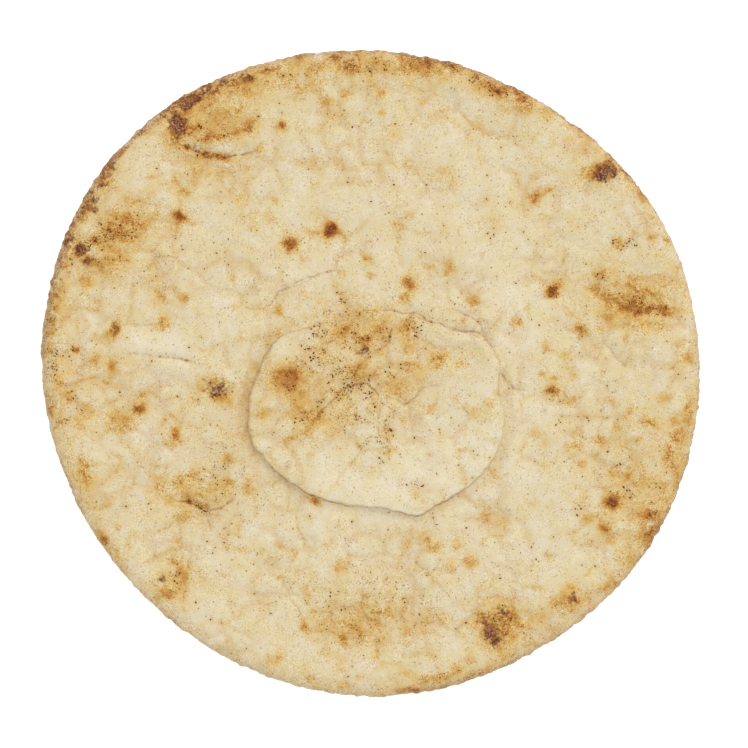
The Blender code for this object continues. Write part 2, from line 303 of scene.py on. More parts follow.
UPPER_LEFT_SPOTS = (
    (-58.5, 75, 6, 9, 10, 0.8), (-62, 79, 5, 3.5, 40, 0.45), (-54.5, 74, 6, 5, 0, 0.4),
    (-55, 82.5, 8, 4, 35, 0.9), (-49.5, 82, 6, 3.5, 30, 0.42), (-47, 85.5, 8, 4, 30, 0.52),
    (-41, 88, 9, 5, 25, 0.55), (-37, 88.9, 4.4, 2.8, 15, 0.8), (-38, 86, 20, 7, 22, 0.32),
    (-31, 91.5, 7, 4, 20, 0.37), (-46, 75, 18, 13, 10, 0.32), (-48.5, 71, 6, 3.4, 25, 0.46),
    (-37, 74.8, 5, 4, 40, 0.58), (-41, 72.5, 8, 2.6, 22, 0.46), (-44.5, 77.5, 7, 2.6, 30, 0.32),
    (-40, 80.2, 7, 2.4, 25, 0.32), (-53, 74, 5, 7, 0, 0.34), (-56, 68.8, 3.4, 1.8, -30, 0.6),
    # The long thin spot at (-47.5, 65.6) darkens the line under the upper left fold: browning together with
    # painted shade
    (-47.5, 65.6, 11, 2.6, -6, 0.66), (-52, 62, 13, 5, -20, 0.2), (-44, 61.5, 7, 4, -20, 0.18),
    (-56.5, 55, 4, 3, 30, 0.42), (-67, 59.5, 3, 2, 10, 0.28), (-58, 47.5, 4.2, 4, 0, 0.94),
    (-65.5, 48.5, 2, 1.6, 0, 0.3), (-75, 43, 20, 11, 35, 0.32), (-74, 47, 5, 3.4, -30, 0.5),
    (-69, 44.5, 4.5, 3.4, -35, 0.45), (-77, 42, 8, 5, -20, 0.3), (-74.3, 46.5, 12, 2.4, -23, 0.35),
    (-88, 37.5, 4.6, 3.8, 20, 0.66), (-86, 34, 4.4, 2.6, -25, 0.66), (-83, 40, 3.6, 3, 0, 0.45),
    (-76, 36.5, 6, 4, 0, 0.32), (-90.5, 38.5, 3, 3, 0, 0.35), (-66, 33, 4, 4, 0, 0.22),
    (-72, 52, 10, 3, -20, 0.22), (-86, 27.5, 6, 4, 0, 0.32), (-80, 33, 14, 8, 20, 0.3),
    (-63.5, 57, 4, 3, 0, 0.14), (-47, 60, 4, 3, 0, 0.18), (-39, 47, 5, 4, 0, 0.16),
    (-86, 50.5, 4.5, 9, -25, 0.5), (-92, 41, 3, 8, -25, 0.45), (-80, 59, 4, 8, -38, 0.5),
    (-60, 71, 8, 6, -40, 0.3), (-66, 74.5, 4, 8, -48, 0.3),
)
TOP_SPOTS = (
    (-11, 95.5, 4, 3, 0, 0.55), (-4, 95.5, 5, 3, 0, 0.4), (-8, 92.8, 9, 5, 0, 0.52),
    (3, 93.5, 9, 5, 0, 0.36), (16.5, 94, 5, 3.5, -20, 0.6), (18.5, 92, 6, 4, -20, 0.34),
    (24.5, 93, 8, 3.6, -15, 0.5), (10, 91.5, 8, 4, 0, 0.3), (-20, 87, 8, 5, 10, 0.28),
    (-17, 92, 7, 4, 10, 0.35), (-25, 89, 6, 4, 20, 0.3), (-13, 82.5, 4.4, 4, 0, 0.34),
    (-7.5, 84.5, 4.6, 3.6, 0, 0.28), (3.5, 85, 3.6, 2.6, -30, 0.34), (0.5, 88.5, 5, 4.5, 0, 0.26),
    (-27.2, 74.7, 3.2, 3.4, 0, 0.74), (-34, 67.5, 4, 3, 0, 0.3), (3, 78.7, 2.6, 2, 0, 0.4),
    (22, 77, 7, 5, 0, 0.16), (-17, 64, 5, 4, 0, 0.16), (-9, 64, 4.5, 4, 0, 0.16),
    (22, 61.5, 4, 3.6, 0, 0.2), (-29, 52.5, 2.6, 2.4, 0, 0.36), (-12.5, 43.2, 4.4, 4.8, -20, 1.0),
    (-16.5, 42.8, 5, 2.4, 0, 0.42), (-24, 39, 5, 4.4, 0, 0.76), (-20.5, 34.5, 4, 3, 0, 0.2),
    (-1, 35, 3, 2, 0, 0.42), (0, 29.4, 2.6, 2, 0, 0.28), (8, 44.5, 4, 3, 0, 0.18),
    (24, 32.5, 2.8, 3, 0, 0.36), (22.8, 30.3, 2.4, 3, 0, 0.34), (18, 32.3, 3.4, 1.6, 0, 0.3),
    (11.8, 26.8, 3.4, 5, 10, 0.6), (10.2, 23, 3, 3.2, 20, 0.38), (31.4, 22, 3.6, 3, 0, 0.42),
    (-27.9, 18.9, 2.4, 3.4, 10, 0.4), (27.5, 15.9, 5, 2.6, 0, 0.22), (-10, 78, 8, 6, 0, 0.12),
    (5, 70, 10, 6, 0, 0.1), (34, 74, 8, 6, 0, 0.08), (10, 60, 16, 10, 0, 0.07),
)
UPPER_RIGHT_SPOTS = (
    (34, 87.5, 9, 5, -20, 0.42), (38.5, 85.2, 4.8, 3.4, 0, 0.66), (44.5, 85, 4, 3, -30, 0.55),
    (46.2, 82, 6.5, 4, -30, 0.4), (53, 78.5, 6, 4, -40, 0.26), (65, 67, 8, 3, 40, 0.16),
    (60, 70, 5, 4, 0, 0.16), (71, 61, 8, 5, 20, 0.82), (72.5, 64, 5, 3.4, 40, 0.45),
    (66, 60, 5, 3.6, 0, 0.35), (77.5, 61, 3, 4, 30, 0.5), (82.5, 53.5, 3.4, 6, 25, 0.44),
    (50, 53, 5, 3.2, 20, 0.5), (53.5, 54.8, 4, 2, 30, 0.34), (53, 47.5, 4, 3, 0, 0.18),
    (61, 57, 5, 4, 0, 0.14), (85.5, 41, 3.4, 2.4, 0, 0.4), (90, 40, 4, 4, 0, 0.3),
    (75, 39, 3.6, 3, 0, 0.34), (80, 25, 24, 10, -8, 0.28), (69.8, 23.6, 10, 2.6, -42, 0.44),
    (82.5, 19.4, 19, 3.6, -3, 0.61), (90, 19, 6, 4, 0, 0.4), (80, 22, 17, 1.7, -10, 0.42),
    (83.5, 24.6, 13, 1.5, -12, 0.38), (74.5, 22.4, 9, 1.8, -36, 0.42), (80, 22.6, 20, 5, -6, 0.24),
    (78, 26.5, 12, 2, -12, 0.32), (88, 27, 8, 2, -6, 0.3), (70, 30, 6, 5, 30, 0.28),
    (86, 14.5, 10, 6, 0, 0.22), (72.5, 17.5, 4.4, 3.4, 0, 0.34), (55.3, 25, 4.5, 3.5, 25, 0.92),
    (57.5, 27, 3.6, 2.6, 40, 0.34), (44.3, 15.4, 3.4, 3.2, 0, 0.46), (63.7, 13.5, 4, 3.4, 0, 0.48),
    (53.7, 8, 3.4, 3, 0, 0.32), (55.7, -1.5, 3.4, 1.4, 0, 0.42), (52, 0, 2.4, 2, 0, 0.32),
    (60, 1, 5, 4, 0, 0.13), (55.2, -5.2, 4, 3.6, 0, 0.66), (61, -1, 2.6, 2.2, 0, 0.3),
    (61, -8, 2.8, 2.6, 0, 0.28), (50.5, 28.5, 4, 3, 0, 0.18), (84, 47, 5, 5, 0, 0.16),
    (78, 16.5, 16, 6, -15, 0.26),
)
RIGHT_SPOTS = (
    (96.5, 5, 3.6, 5, 0, 0.4), (89, -7.5, 5, 4, 0, 0.24), (78, -12, 3.6, 3, 0, 0.36),
    (85, -15, 7, 2.6, -28, 0.36), (93, -14, 4, 3.4, 0, 0.34), (96.5, -12, 3, 8, 0, 0.42),
    (93.5, -19.5, 5, 5, 0, 0.42), (90.5, -24, 4.4, 7, 0, 0.44), (51, -18, 6, 3.6, 10, 0.26),
    (63, -18, 3.4, 5, 0, 0.24), (62, -21.5, 5, 4, 0, 0.22), (69.5, -20.7, 4, 3, 10, 0.4),
    (74, -16.5, 3.4, 3, 0, 0.3), (81, -20, 3, 2.6, 0, 0.36), (64.5, -27.5, 3, 2.8, 0, 0.34),
    (74, -30.5, 3.6, 3.4, 0, 0.34), (78, -30.5, 3, 3.4, 0, 0.46), (84, -33, 16, 7, -12, 0.3),
    (87.5, -33.5, 6, 4, 0, 0.34), (73.5, -39, 5.4, 5, 0, 0.8), (66, -43.7, 4.4, 3.6, 0, 0.42),
    (71, -47, 5, 2.6, 10, 0.5), (73.5, -49.5, 3.6, 4, 0, 0.4), (84.6, -42.5, 7.5, 5, 0, 0.5),
    (84, -47.8, 6.5, 5.4, 0, 0.44), (84.2, -45, 8, 9, 20, 0.26), (80, -40, 8, 14, 0, 0.2),
    (84, -50, 6, 12, 30, 0.32), (78, -56, 9, 7, 0, 0.3), (73, -63.5, 6, 3.6, 30, 0.4),
    (69, -65.5, 4, 3, 0, 0.34), (59.6, -68.6, 9.5, 6.5, 10, 0.48), (61.5, -68, 5, 4.4, 0, 0.5),
    (61, -64.5, 3, 3, 0, 0.34), (50, -64.5, 7, 2, -5, 0.28), (40, -45, 4.4, 3.6, 0, 0.2),
    (54.5, -55.5, 3.4, 2, 0, 0.26), (65, -75, 9, 4, 42, 0.18), (93, -30, 4, 10, 12, 0.34),
    (89, -38, 4, 8, 20, 0.3), (88, -45, 4, 8, 25, 0.42),
)
LOWER_RIGHT_SPOTS = (
    (38, -75.8, 12.5, 12.5, 20, 0.43), (36.5, -77.9, 6.5, 11, 20, 0.48), (41, -72.7, 7, 5, -30, 0.42),
    (40.5, -78.2, 4.5, 4, 0, 0.4), (33.5, -73.7, 4, 4, 0, 0.42), (45.5, -75.7, 4, 5, 0, 0.34),
    (43.5, -80.2, 5, 3, 20, 0.3), (37.5, -82.2, 5, 3, 0, 0.3), (45.5, -69.2, 6, 4, 0, 0.16),
)
LEFT_SPOTS = (
    (-97, 16, 3.4, 5, 0, 0.44), (-97, 11.5, 3, 3, 0, 0.34), (-95, -2.5, 5, 5, 0, 0.34),
    (-89.5, 7.2, 3.2, 2.8, 0, 0.62), (-83.5, 4, 3.6, 3, 0, 0.34), (-78.2, 2.6, 3.4, 5, 20, 0.4),
    (-77.7, 13.4, 4.4, 3.8, 0, 0.62), (-79.5, 11, 5, 4.4, 0, 0.32), (-63, 15, 5.4, 4.6, 0, 0.38),
    (-63.5, 23.3, 3, 2.6, 0, 0.26), (-56.5, 23, 2.6, 2.4, 0, 0.36), (-41.5, 28.8, 2.4, 2.4, 0, 0.3),
    (-41, 20, 2.6, 2.4, 0, 0.26), (-46.9, -4.2, 9.4, 6.6, -12, 0.42), (-45.5, -7.5, 6, 5, -30, 0.26),
    (-51, -4.5, 5, 4, 0, 0.22), (-70.5, -10.5, 3.8, 3.2, 0, 0.64), (-69, -7.8, 2.4, 3.4, -20, 0.36),
    (-76, -14.5, 8.5, 6, 0, 0.36), (-92, -7.5, 4, 3.4, 0, 0.34), (-86.5, -9.5, 3, 2.6, 0, 0.28),
    (-94, -15, 3, 3, 0, 0.3), (-97, -11, 2.4, 6, 0, 0.45), (-59, -18.5, 3.2, 4.6, -10, 0.52),
    (-61, -21.5, 4, 3, 0, 0.28), (-87, -28, 4, 9, 15, 0.36), (-86, -32.5, 6, 4, 0, 0.36),
    (-43.5, -25.5, 3, 2.8, 0, 0.38), (-54, -35, 24, 11, -8, 0.22), (-64, -34, 5, 4.4, 0, 0.36),
    (-61, -38, 5, 3.6, 0, 0.36), (-57, -31.5, 4, 3.4, 0, 0.4), (-53.5, -31, 3.4, 3, 0, 0.34),
    (-43, -33, 4, 3, 0, 0.42), (-37.5, -34.5, 4.4, 3.6, 0, 0.3), (-47, -35.5, 13, 9, 0, 0.24),
    (-55, -38.5, 5, 2.6, -35, 0.52), (-51, -39.8, 5, 2.2, 0, 0.44), (-56, -43, 7, 3.4, 0, 0.34),
    (-62, -46.5, 9, 3, 28, 0.18), (-80, -39.5, 3.4, 4.4, 0, 0.34), (-77, -46, 2.6, 3.4, 0, 0.32),
    (-81, -49.8, 3.2, 6.4, 40, 0.66), (-60.5, -62, 12, 15, 10, 0.24), (-57.4, -61.5, 4.4, 9, 0, 0.42),
    (-61, -66.4, 7, 3.6, 15, 0.46), (-64.5, -67.6, 4, 3, 0, 0.3), (-60, -57.6, 7, 2, 0, 0.3),
    (-63.6, -60.5, 2.4, 4, 0, 0.24), (-90, -22, 4, 10, 10, 0.1), (-74, 5, 6, 3, 0, 0.12),
    # The spot at (-64.5, 28) is painted shade laid down as browning: the shadow band beside the pad there
    (-68, -42, 9, 6, 0, 0.12), (-92, 10, 9, 44, 0, 0.12), (-64.5, 28, 5, 14, 10, 0.15),
    (-76, -52, 30, 9, -54, 0.1),
)
BOTTOM_SPOTS = (
    (-17, -38.6, 3.2, 3, 0, 0.62), (-37.4, -34.4, 3.4, 3, 0, 0.3), (-9, -58.5, 5, 3.6, 0, 0.34),
    (-19, -66, 4, 6, 0, 0.28), (-5, -76, 10, 7, 0, 0.28), (-2.5, -78.5, 4, 3.6, 0, 0.46),
    (5, -72.8, 15, 2.6, -18, 0.3), (-8, -80.5, 3, 5, 0, 0.38), (-3, -71, 4, 3.4, 0, 0.3),
    (6, -72, 3.6, 3, 0, 0.3), (11, -77.5, 4, 3, 0, 0.28), (2, -75, 7, 3, -15, 0.26),
    (-20, -76.3, 3, 2.6, 0, 0.44), (-17.5, -73.5, 4, 2, 50, 0.22), (-29, -86.5, 6, 3.4, 30, 0.3),
    (-18, -92, 4, 3, 0, 0.28), (-8.5, -94.7, 3, 2.4, 0, 0.34), (19, -52.5, 6, 3.4, 0, 0.34),
    (17.5, -50.5, 3, 2.6, 0, 0.24), (30, -57.3, 5, 4, 0, 0.36), (44, -83, 14, 6, 25, 0.14),
    (24, -58.5, 4, 3.4, 0, 0.24), (22, -74.5, 4, 3, 0, 0.28), (17, -92, 5, 3, 0, 0.36),
    (22, -92, 6, 3, 0, 0.38), (26, -90, 5, 3, 0, 0.36), (30, -86.5, 5, 4, 0, 0.24),
    (12, -95.5, 10, 2.6, 5, 0.5), (34, -90, 9, 3.4, 20, 0.36), (0, -50, 10, 6, 0, 0.08),
    (-30, -55, 8, 6, 0, 0.1), (-10, -85, 10, 6, 0, 0.12), (-22, -60, 6, 4, 0, 0.16), (8, -62, 8, 6, 0, 0.1),
)
SPOTS = (
    BLISTER_SPOTS + UPPER_LEFT_SPOTS + TOP_SPOTS + UPPER_RIGHT_SPOTS + RIGHT_SPOTS + LOWER_RIGHT_SPOTS
    + LEFT_SPOTS + BOTTOM_SPOTS
)
# Broad, faint toasting under the spots
WASHES = (
    (-6, 6, 46, 34, -10, 0.15), (2, 12, 26, 18, 0, 0.1), (-20, -8, 22, 22, 0, 0.12),
    (84, -36, 34, 50, -10, 0.12), (80, 24, 34, 22, -8, 0.12), (-74, 42, 32, 22, 35, 0.13),
    (-48, 74, 34, 22, 20, 0.15), (-54, -36, 36, 22, 0, 0.1), (-1, -74, 28, 18, 0, 0.18),
    (40, -76, 30, 24, 0, 0.1), (-84, -2, 22, 34, 0, 0.08), (0, 90, 80, 16, 0, 0.08),
)
# Spots burnt past brown
BURNT = (
    (-25, -0.5, 4, 2.6, 30, 0.3), (-2.8, 6.8, 3.6, 2.8, 30, 0.85), (-58.8, 75.4, 5.8, 7, 15, 1.0),
    (-55.3, 82.5, 8.5, 5, 35, 1.0), (-50.4, 86, 5.4, 2.4, 30, 0.9), (-44.8, 88, 5, 2.2, 25, 0.75),
    (-39.5, 90.2, 4, 1.6, 20, 0.7), (-37, 88.9, 3.4, 1.8, 15, 0.8), (-30.3, 90.9, 2.6, 2, 0, 0.4),
    (-61.5, 79.5, 2.6, 2, 30, 0.4), (-84, 51.5, 3, 7, -25, 0.75), (-91.8, 41.5, 3, 7, -25, 0.8),
    (-88, 37.5, 4, 3.6, 20, 1.0), (-86, 34, 3.6, 2, -25, 0.85), (-74, 47, 2.6, 1.6, -30, 0.35),
    (-83, 40, 1.8, 1.6, 0, 0.4), (-56, 68.8, 2.4, 1.4, -30, 0.5), (-47.5, 65.8, 6, 1.4, -8, 0.4),
    (-39.5, 72, 2, 1.4, 20, 0.3), (-37, 74.5, 2.2, 2, 40, 0.4), (-27.2, 74.7, 2, 2.2, 0, 0.6),
    (-58, 47.5, 1.8, 1.6, 0, 0.4), (-12.3, 42.8, 2.4, 2.6, -20, 0.7), (-24, 39, 2, 1.6, 0, 0.35),
    (55.3, 25, 2.2, 2, 0, 0.55), (73.5, -39, 2.6, 2.4, 0, 0.6), (71.2, 60.6, 8, 5.4, 15, 1.0),
    (72, 63.8, 3.4, 2, 40, 0.5), (38.5, 85.2, 3, 1.8, 0, 0.6), (44.5, 85, 2.6, 2, -30, 0.6),
    (16.5, 94.2, 3, 2, -20, 0.5), (24.5, 93.2, 4, 1.8, -15, 0.35), (-11, 95.8, 2.6, 1.6, 0, 0.5),
    (-46.9, -4.4, 6.4, 4.6, -15, 0.92), (-77.7, 13.4, 2.6, 2.2, 0, 0.7), (-70.5, -10.5, 1.8, 1.6, 0, 0.35),
    (-55, -38.8, 3.4, 1.4, -35, 0.35), (36.5, -77.8, 5, 10, 20, 0.85), (40.5, -72.7, 6, 3.8, -30, 0.7),
    (40.5, -78.2, 3, 2.6, 0, 0.6), (34, -72.2, 2, 2, 0, 0.3), (61.5, -68, 2.6, 2.8, 0, 0.65),
    (-80, 60, 3, 14, -36, 0.4), (-88.4, 48.5, 2.6, 10, -26, 0.6), (-95, 30, 2.4, 10, -14, 0.3),
    (85.5, -42.2, 3.4, 1.8, 0, 0.25), (-17, -38.6, 1.4, 1.4, 0, 0.4), (-82, -49.4, 1.8, 3.4, 40, 0.45),
    (55.2, -5.2, 1.6, 1.4, 0, 0.35), (71, -47, 2, 1.2, 10, 0.3), (-62.6, -62.4, 2.4, 2.2, 0, 1.0),
    (77.3, 61, 1.6, 3, 30, 0.4),
)
# Patches of dry flour that stayed pale
FLOUR = (
    (-57, -73.5, 8, 5, 0, 0.52), (-52.5, -73.5, 5, 4, 0, 0.5), (-60, -59.6, 3.8, 3.8, 0, 0.45),
    (-93.4, 8, 5, 3, 60, 0.5), (-92.4, 5.8, 3, 2, 0, 0.4), (-86, 9.5, 6, 5, -30, 0.6),
    (-97.5, -16, 3, 10, 10, 0.5), (85.2, -45.3, 4.2, 1.1, 3, 0.9), (-66, -52, 8, 5, 30, 0.3),
    (60, 38, 16, 7, -30, 0.25), (-82, 62, 8, 3, 50, 0.35), (-60, 12, 12, 6, 0, 0.25),
    (40, 60, 16, 10, 0, 0.2), (14, -60, 14, 7, 0, 0.2), (50, -35, 12, 8, 0, 0.2), (-30, 60, 12, 8, 0, 0.2),
)
# Broad places where the crust stayed paler than elsewhere, and one patch of painted light
PALER = (
    (6, -34, 44, 26, 0, 0.42), (30, -22, 22, 26, 0, 0.55), (-28, 4, 12, 22, 0, 0.3),
    (0, 66, 60, 16, 0, 0.1), (-30, -46, 26, 16, 0, 0.3), (56, -56, 30, 20, 30, 0.3),
    # The patch at (-46, 68.6) is painted light: it lightens the bulge over the upper left fold against the
    # shade it falls in
    (-46, 68.6, 20, 3.2, -6, 0.9), (40, 20, 24, 20, 0, 0.4), (-70, -24, 16, 11, 0, 0.5),
    (-74, -53, 13, 18, 38, 0.35), (-22, 28, 22, 10, 20, 0.36), (-40, 12, 14, 18, 0, 0.4),
    (-65, 10, 14, 6, -5, 0.6), (-10, -52, 60, 14, 0, 0.3), (46, -20, 14, 30, 0, 0.3),
)
# Along the rim, as (bearing, value): how far the crust is baked beside the edge and on the side wall,
# and how wide that band is
RIM_BROWNING = (
    (0, 0.08), (12, 0.03), (30, 0.08), (40, 0.31), (50, 0.14), (60, 0.36), (70, 0.28), (80, 0.32),
    (90, 0.24), (102, 0.28), (112, 0.19), (121, 0.18), (131, 0.22), (141, 0.16), (150, 0.18), (160, 0.38),
    (170, 0.28), (180, 0.14), (190, 0.14), (200, 0.17), (210, 0.17), (221, 0.13), (231, 0.15), (245, 0.03),
    (262, 0.13), (272, 0.07), (282, 0.2), (292, 0.23), (301, 0.17), (311, 0.04), (321, 0.14), (331, 0.32),
    (342, 0.18), (351, 0.19),
)
WALL_BROWNING = (
    (0, 0.03), (20, 0.02), (40, 0.24), (60, 0.26), (82, 0.28), (95, 0.26), (110, 0.29), (121, 0.32),
    (131, 0.2), (142, 0.44), (153, 0.44), (165, 0.36), (173, 0.06), (182, 0.0), (200, 0.0), (212, 0.04),
    (240, 0.0), (270, 0.02), (281, 0.28), (295, 0.1), (310, 0.04), (330, 0.18), (345, 0.06),
)
RIM_BAND = (
    (0, 3.0), (30, 3.0), (45, 4.0), (70, 6.5), (95, 5.5), (118, 4.5), (135, 3.0), (160, 4.5), (180, 7.0),
    (210, 5.5), (250, 6.0), (280, 3.6), (300, 5.0), (325, 5.0), (345, 7.0),
)
# Painted shade: a tan shadow in the groove outside the blister's edge, as (bearing, strength) and (bearing,
# width)
GROOVE_PAINTED_SHADE = (
    (0, 0.2), (20, 0.12), (50, 0.12), (90, 0.04), (120, 0.06), (150, 0.3), (180, 0.5), (200, 0.34),
    (218, 0.15), (240, 0.12), (270, 0.1), (300, 0.25), (330, 0.26),
)
GROOVE_REACH = (
    (0, 3.0), (60, 1.5), (120, 1.5), (170, 3.0), (187, 3.0), (204, 1.6), (265, 1.2), (300, 2.4), (330, 3.0),
)
# Painted shadow: the dark line right under the blister's edge
LIP_SHADOW = (
    (0, 0.12), (20, 0.3), (50, 0.5), (80, 0.5), (110, 0.2), (125, 0.4), (145, 0.4), (165, 0.3), (182, 0.5),
    (200, 0.3), (216, 0.75), (240, 0.8), (262, 0.35), (280, 0.7), (300, 0.8), (325, 0.25), (345, 0.12),
)
# Fine scorched specks gather here: the place, length, width and turn of a patch, and how many there are
SPECK_PATCHES = (
    (-6, -1, 14, 7, -25, 70), (-16, 5, 9, 8, 0, 34), (-16, 13, 7, 7, 0, 26), (-2.3, 8, 5, 5, 0, 16),
    (4.0, -15, 4.2, 18, 5, 34), (-7.6, -5.6, 12, 4, 30, 26), (-15, -12, 8, 5, 50, 12),
    (-21, -13.4, 4, 2, 30, 10), (-25, -3, 8, 7, 0, 12), (12, 13, 5, 7, 0, 16), (15, 16.5, 10, 3, 0, 12),
    (5, 12, 3, 9, 10, 16), (-6, 12, 14, 9, 0, 22), (8, 3, 16, 9, 0, 14), (14, -33.2, 7, 2.4, 0, 9),
    (-4, -14, 16, 12, 0, 26), (-8, 21, 18, 8, 0, 12), (-80, 41, 14, 7, 30, 38), (-77.5, 42, 10, 6, -15, 30),
    (-72, 42, 8, 6, 0, 16), (-86, 35, 8, 6, 0, 20), (-75, 33, 14, 4, 0, 8), (-50, 71, 12, 7, 0, 20),
    (-54, 67.5, 9, 2.4, -15, 14), (34, 87, 6, 3, -25, 26), (40, 85, 8, 5, 0, 14), (78.5, 39, 5, 4, 0, 14),
    (72, 39.5, 4, 2, 0, 6), (80, 21, 12, 5, -15, 22), (70, 29, 6, 3, -40, 10), (-44, -29, 18, 11, 0, 18),
    (-56, -33, 16, 9, 0, 14), (-53, -39, 8, 2.4, -30, 16), (78, -34, 14, 12, 0, 12),
    (-3, -77, 14, 10, 0, 16), (40, -77, 13, 12, 0, 18), (-91, -12, 6, 8, 0, 12),
    (-95.3, 6.5, 2.4, 3.6, 0, 14), (-95, 1.8, 4, 2.4, 0, 16), (-93, 4, 7, 12, 0, 12),
    (-96.5, 16, 2, 12, 0, 8), (20, 92, 24, 6, 0, 16), (-2, 92, 20, 8, 0, 18), (-60, -60, 9, 12, 0, 12),
    (2, -66, 36, 13, 0, 24), (-24, 89, 18, 6, 0, 10), (60, -14, 10, 5, 0, 7), (-40, -52, 20, 10, 0, 8),
)
LOOSE_SPECKS = 380


# ---------------------------------------------------------------- finer form of the crust

# Noise in several sizes is given as (size, height, layer), and its height is how far it lifts or slides
WANDER = ((5.0, 0.55, 31.0), (2.0, 0.33, 33.0))  # lines of the form wander like torn dough
LUMPS = ((9.0, 0.2, 11.0), (4.0, 0.16, 12.0), (1.9, 0.08, 13.0))
PAD_WANDER = ((11.0, 3.4, 61.0), (3.4, 0.45, 63.0))  # so that the hollows between the pads wind
RAGGED_RIM = ((14.0, 0.4, 21.0), (4.2, 0.3, 22.0), (1.9, 0.4, 24.0), (1.1, 0.3, 25.0))
UNDER_LUMPS = ((15.0, 0.16, 81.0), (6.0, 0.08, 82.0))
PAD_SPREAD = 0.42  # share of the step by which a pad's middle may stray
PAD_PATCH = 16.0  # pads come and go over about this far
PAD_PRESENT = (-0.15, 0.3)  # they are there where noise rises over these
PAD_LAYER = 65.0
PAD_SEED = 9
HOLLOW_REACH = 3.0  # a hollow is marked on the crust out to this distance from its bottom
# The crust is slightly quilted with soft pads of two sizes: how wide they are, how high, how far their
# edges are rounded, the depth and width of the narrow hollow between them, and how dark its painted shade is
Pads = namedtuple("Pads", "step height round hollow_depth hollow_width dark")
PADS = (Pads(17.0, 0.6, 4.5, 0.18, 0.8, 1.0), Pads(7.5, 0.3, 2.2, 0.12, 0.6, 0.8))
# The lip leans out over its groove, whose outer side comes in under it, each as (how far it is pushed out,
# how far inside the blister's edge, half width)
LIP_LEAN = ((0.3, 1.0, 0.9), (-0.2, -0.6, 0.8))
RAGGED_START = (2.0, 0.3)  # the outline grows ragged between these many shoulders in from the rim
SEAM_DEPTH = 0.35  # depth of the seam along the widest line of the rim
SEAM_WIDTH = 0.7
SEAM_PATCH = (9.0, 23.0)  # size and layer of the noise that makes the seam deeper and shallower
# the line at the bottom of a fold is painted shade, partly its own brown
CREASE_DEPTH = 0.15  # how far the line at the bottom of a fold cuts in, where it is darkest
CREASE_WIDTH = 0.75
CREASE_REACH = 2.2  # a crease is marked on the crust out to this distance from its line
BLISTER_PITS = 0.35  # the scorched crust sinks this far where it is burnt
# Creases that are too fine for the solid
CREASES = (
    Fold(((-58, 69.3), (-54.5, 67.3), (-50.5, 66.2), (-45, 65.2), (-40, 65.8)), 0.15, 0.9, 0.1, 0.95),
    Fold(((-75, 5.6), (-70, 5.6), (-65, 5.2), (-60, 4.5)), 0.12, 1.0, 0.05, 0.4),
    Fold(((-76, 14.4), (-71, 14.5), (-64, 14.4)), 0.1, 0.9, 0.05, 0.2),
    Fold(((-14, 8), (-12, 9.3), (-10, 10)), 0.25, 1.0, 0.1, 0.5),
    Fold(((-66, 38), (-64.5, 31), (-63.5, 24), (-60, 17)), 0.5, 2.4, 0.4, 0.12),
    Fold(((0, 5.5), (-3, 2), (-6, -3.5)), 0.35, 1.4, 0.2, 0.4),
    Fold(((12, -8), (12.5, -14), (13, -20), (17, -26)), 0.3, 1.6, 0.2, 0.1),
    Fold(((-30, -52), (-22, -50), (-14, -51)), 0.3, 1.6, 0.25, 0.12),
    Fold(((-70, -20), (-66, -26), (-66, -34)), 0.35, 2.2, 0.3, 0.08),
    Fold(((-20, 52), (-12, 55), (-8, 62), (-9, 70)), 0.3, 1.6, 0.25, 0.14),
    Fold(((-32, 60), (-28, 66), (-20, 68)), 0.25, 1.6, 0.2, 0.12),
    Fold(((3, -10), (2.5, -15), (2, -20)), 0.15, 1.2, 0.1, 0.3),
    Fold(((29, -16), (28.4, -19), (28, -22)), 0.15, 1.2, 0.1, 0.2),
    Fold(((27, -10), (28.6, -11.2), (30, -13)), 0.2, 1.0, 0.1, 0.3),
    Fold(
        ((39.5, 2), (38, 5), (36, 9), (33, 12), (27, 12.3), (24, 13), (21, 14.8), (17, 15.5)),
        0.5, 1.1, 0.5, 0.75,
    ),
    Fold(((18, 15.4), (14, 18), (10, 18)), 0.35, 1.1, 0.3, 0.7),
    Fold(((24.5, 19.6), (30, 17), (33, 15), (34.7, 10.5), (37.5, 6)), 0.35, 1.1, 0.35, 0.55),
    Fold(((39.2, 1.4), (41, -2.5), (43, -5), (48.5, -5.2)), 0.3, 1.0, 0.3, 0.6),
    Fold(((-66, -49), (-61, -46.5), (-56, -43)), 0.25, 1.6, 0.2, 0.25),
    Fold(((-35, 17), (-28, 22.5), (-19, 26.5), (-10, 29)), 0.2, 1.6, 0.3, 0.1),
    Fold(((-82, 12), (-79, 9), (-78, 3), (-79.5, -1)), 0.2, 1.4, 0.2, 0.2),
    Fold(((55, 44), (59, 40), (66, 37)), 0.25, 1.5, 0.25, 0.15),
    Fold(((-41, 21), (-36, 25), (-33, 31)), 0.25, 1.6, 0.2, 0.12),
    Fold(((12, -56), (18, -60), (27, -61)), 0.3, 1.6, 0.25, 0.12),
    Fold(((-33, -55), (-30, -59), (-23, -60), (-15, -58)), 0.25, 1.4, 0.2, 0.2),
    Fold(((8, 45), (14, 49), (17, 55)), 0.25, 1.6, 0.25, 0.12),
    Fold(((45, 18), (50, 22), (57, 23)), 0.25, 1.6, 0.2, 0.12),
)
LOOSE_CREASES = 150
LOOSE_REACH = 0.93  # loose creases stay inside this share of the outline
# The least and most of a loose crease: its bend at each turn, step, depth, half width and the darkness of its
# painted shade line
LOOSE_BEND = (-0.6, 0.6)
LOOSE_STEP = (1.2, 3.6)
LOOSE_STEPS = 3
LOOSE_DEPTH = (0.04, 0.14)
LOOSE_WIDTH = (1.0, 2.2)
LOOSE_LINE = (0.0, 0.12)
LOOSE_BULGE = 0.6  # height of the bulge as a share of the depth


def random_place(rng, reach):
    """A place on a disc, as likely on one part of it as on another."""
    bearing = rng.uniform(0.0, 2.0 * math.pi)
    distance = reach * math.sqrt(rng.uniform())
    return distance * math.cos(bearing), distance * math.sin(bearing)


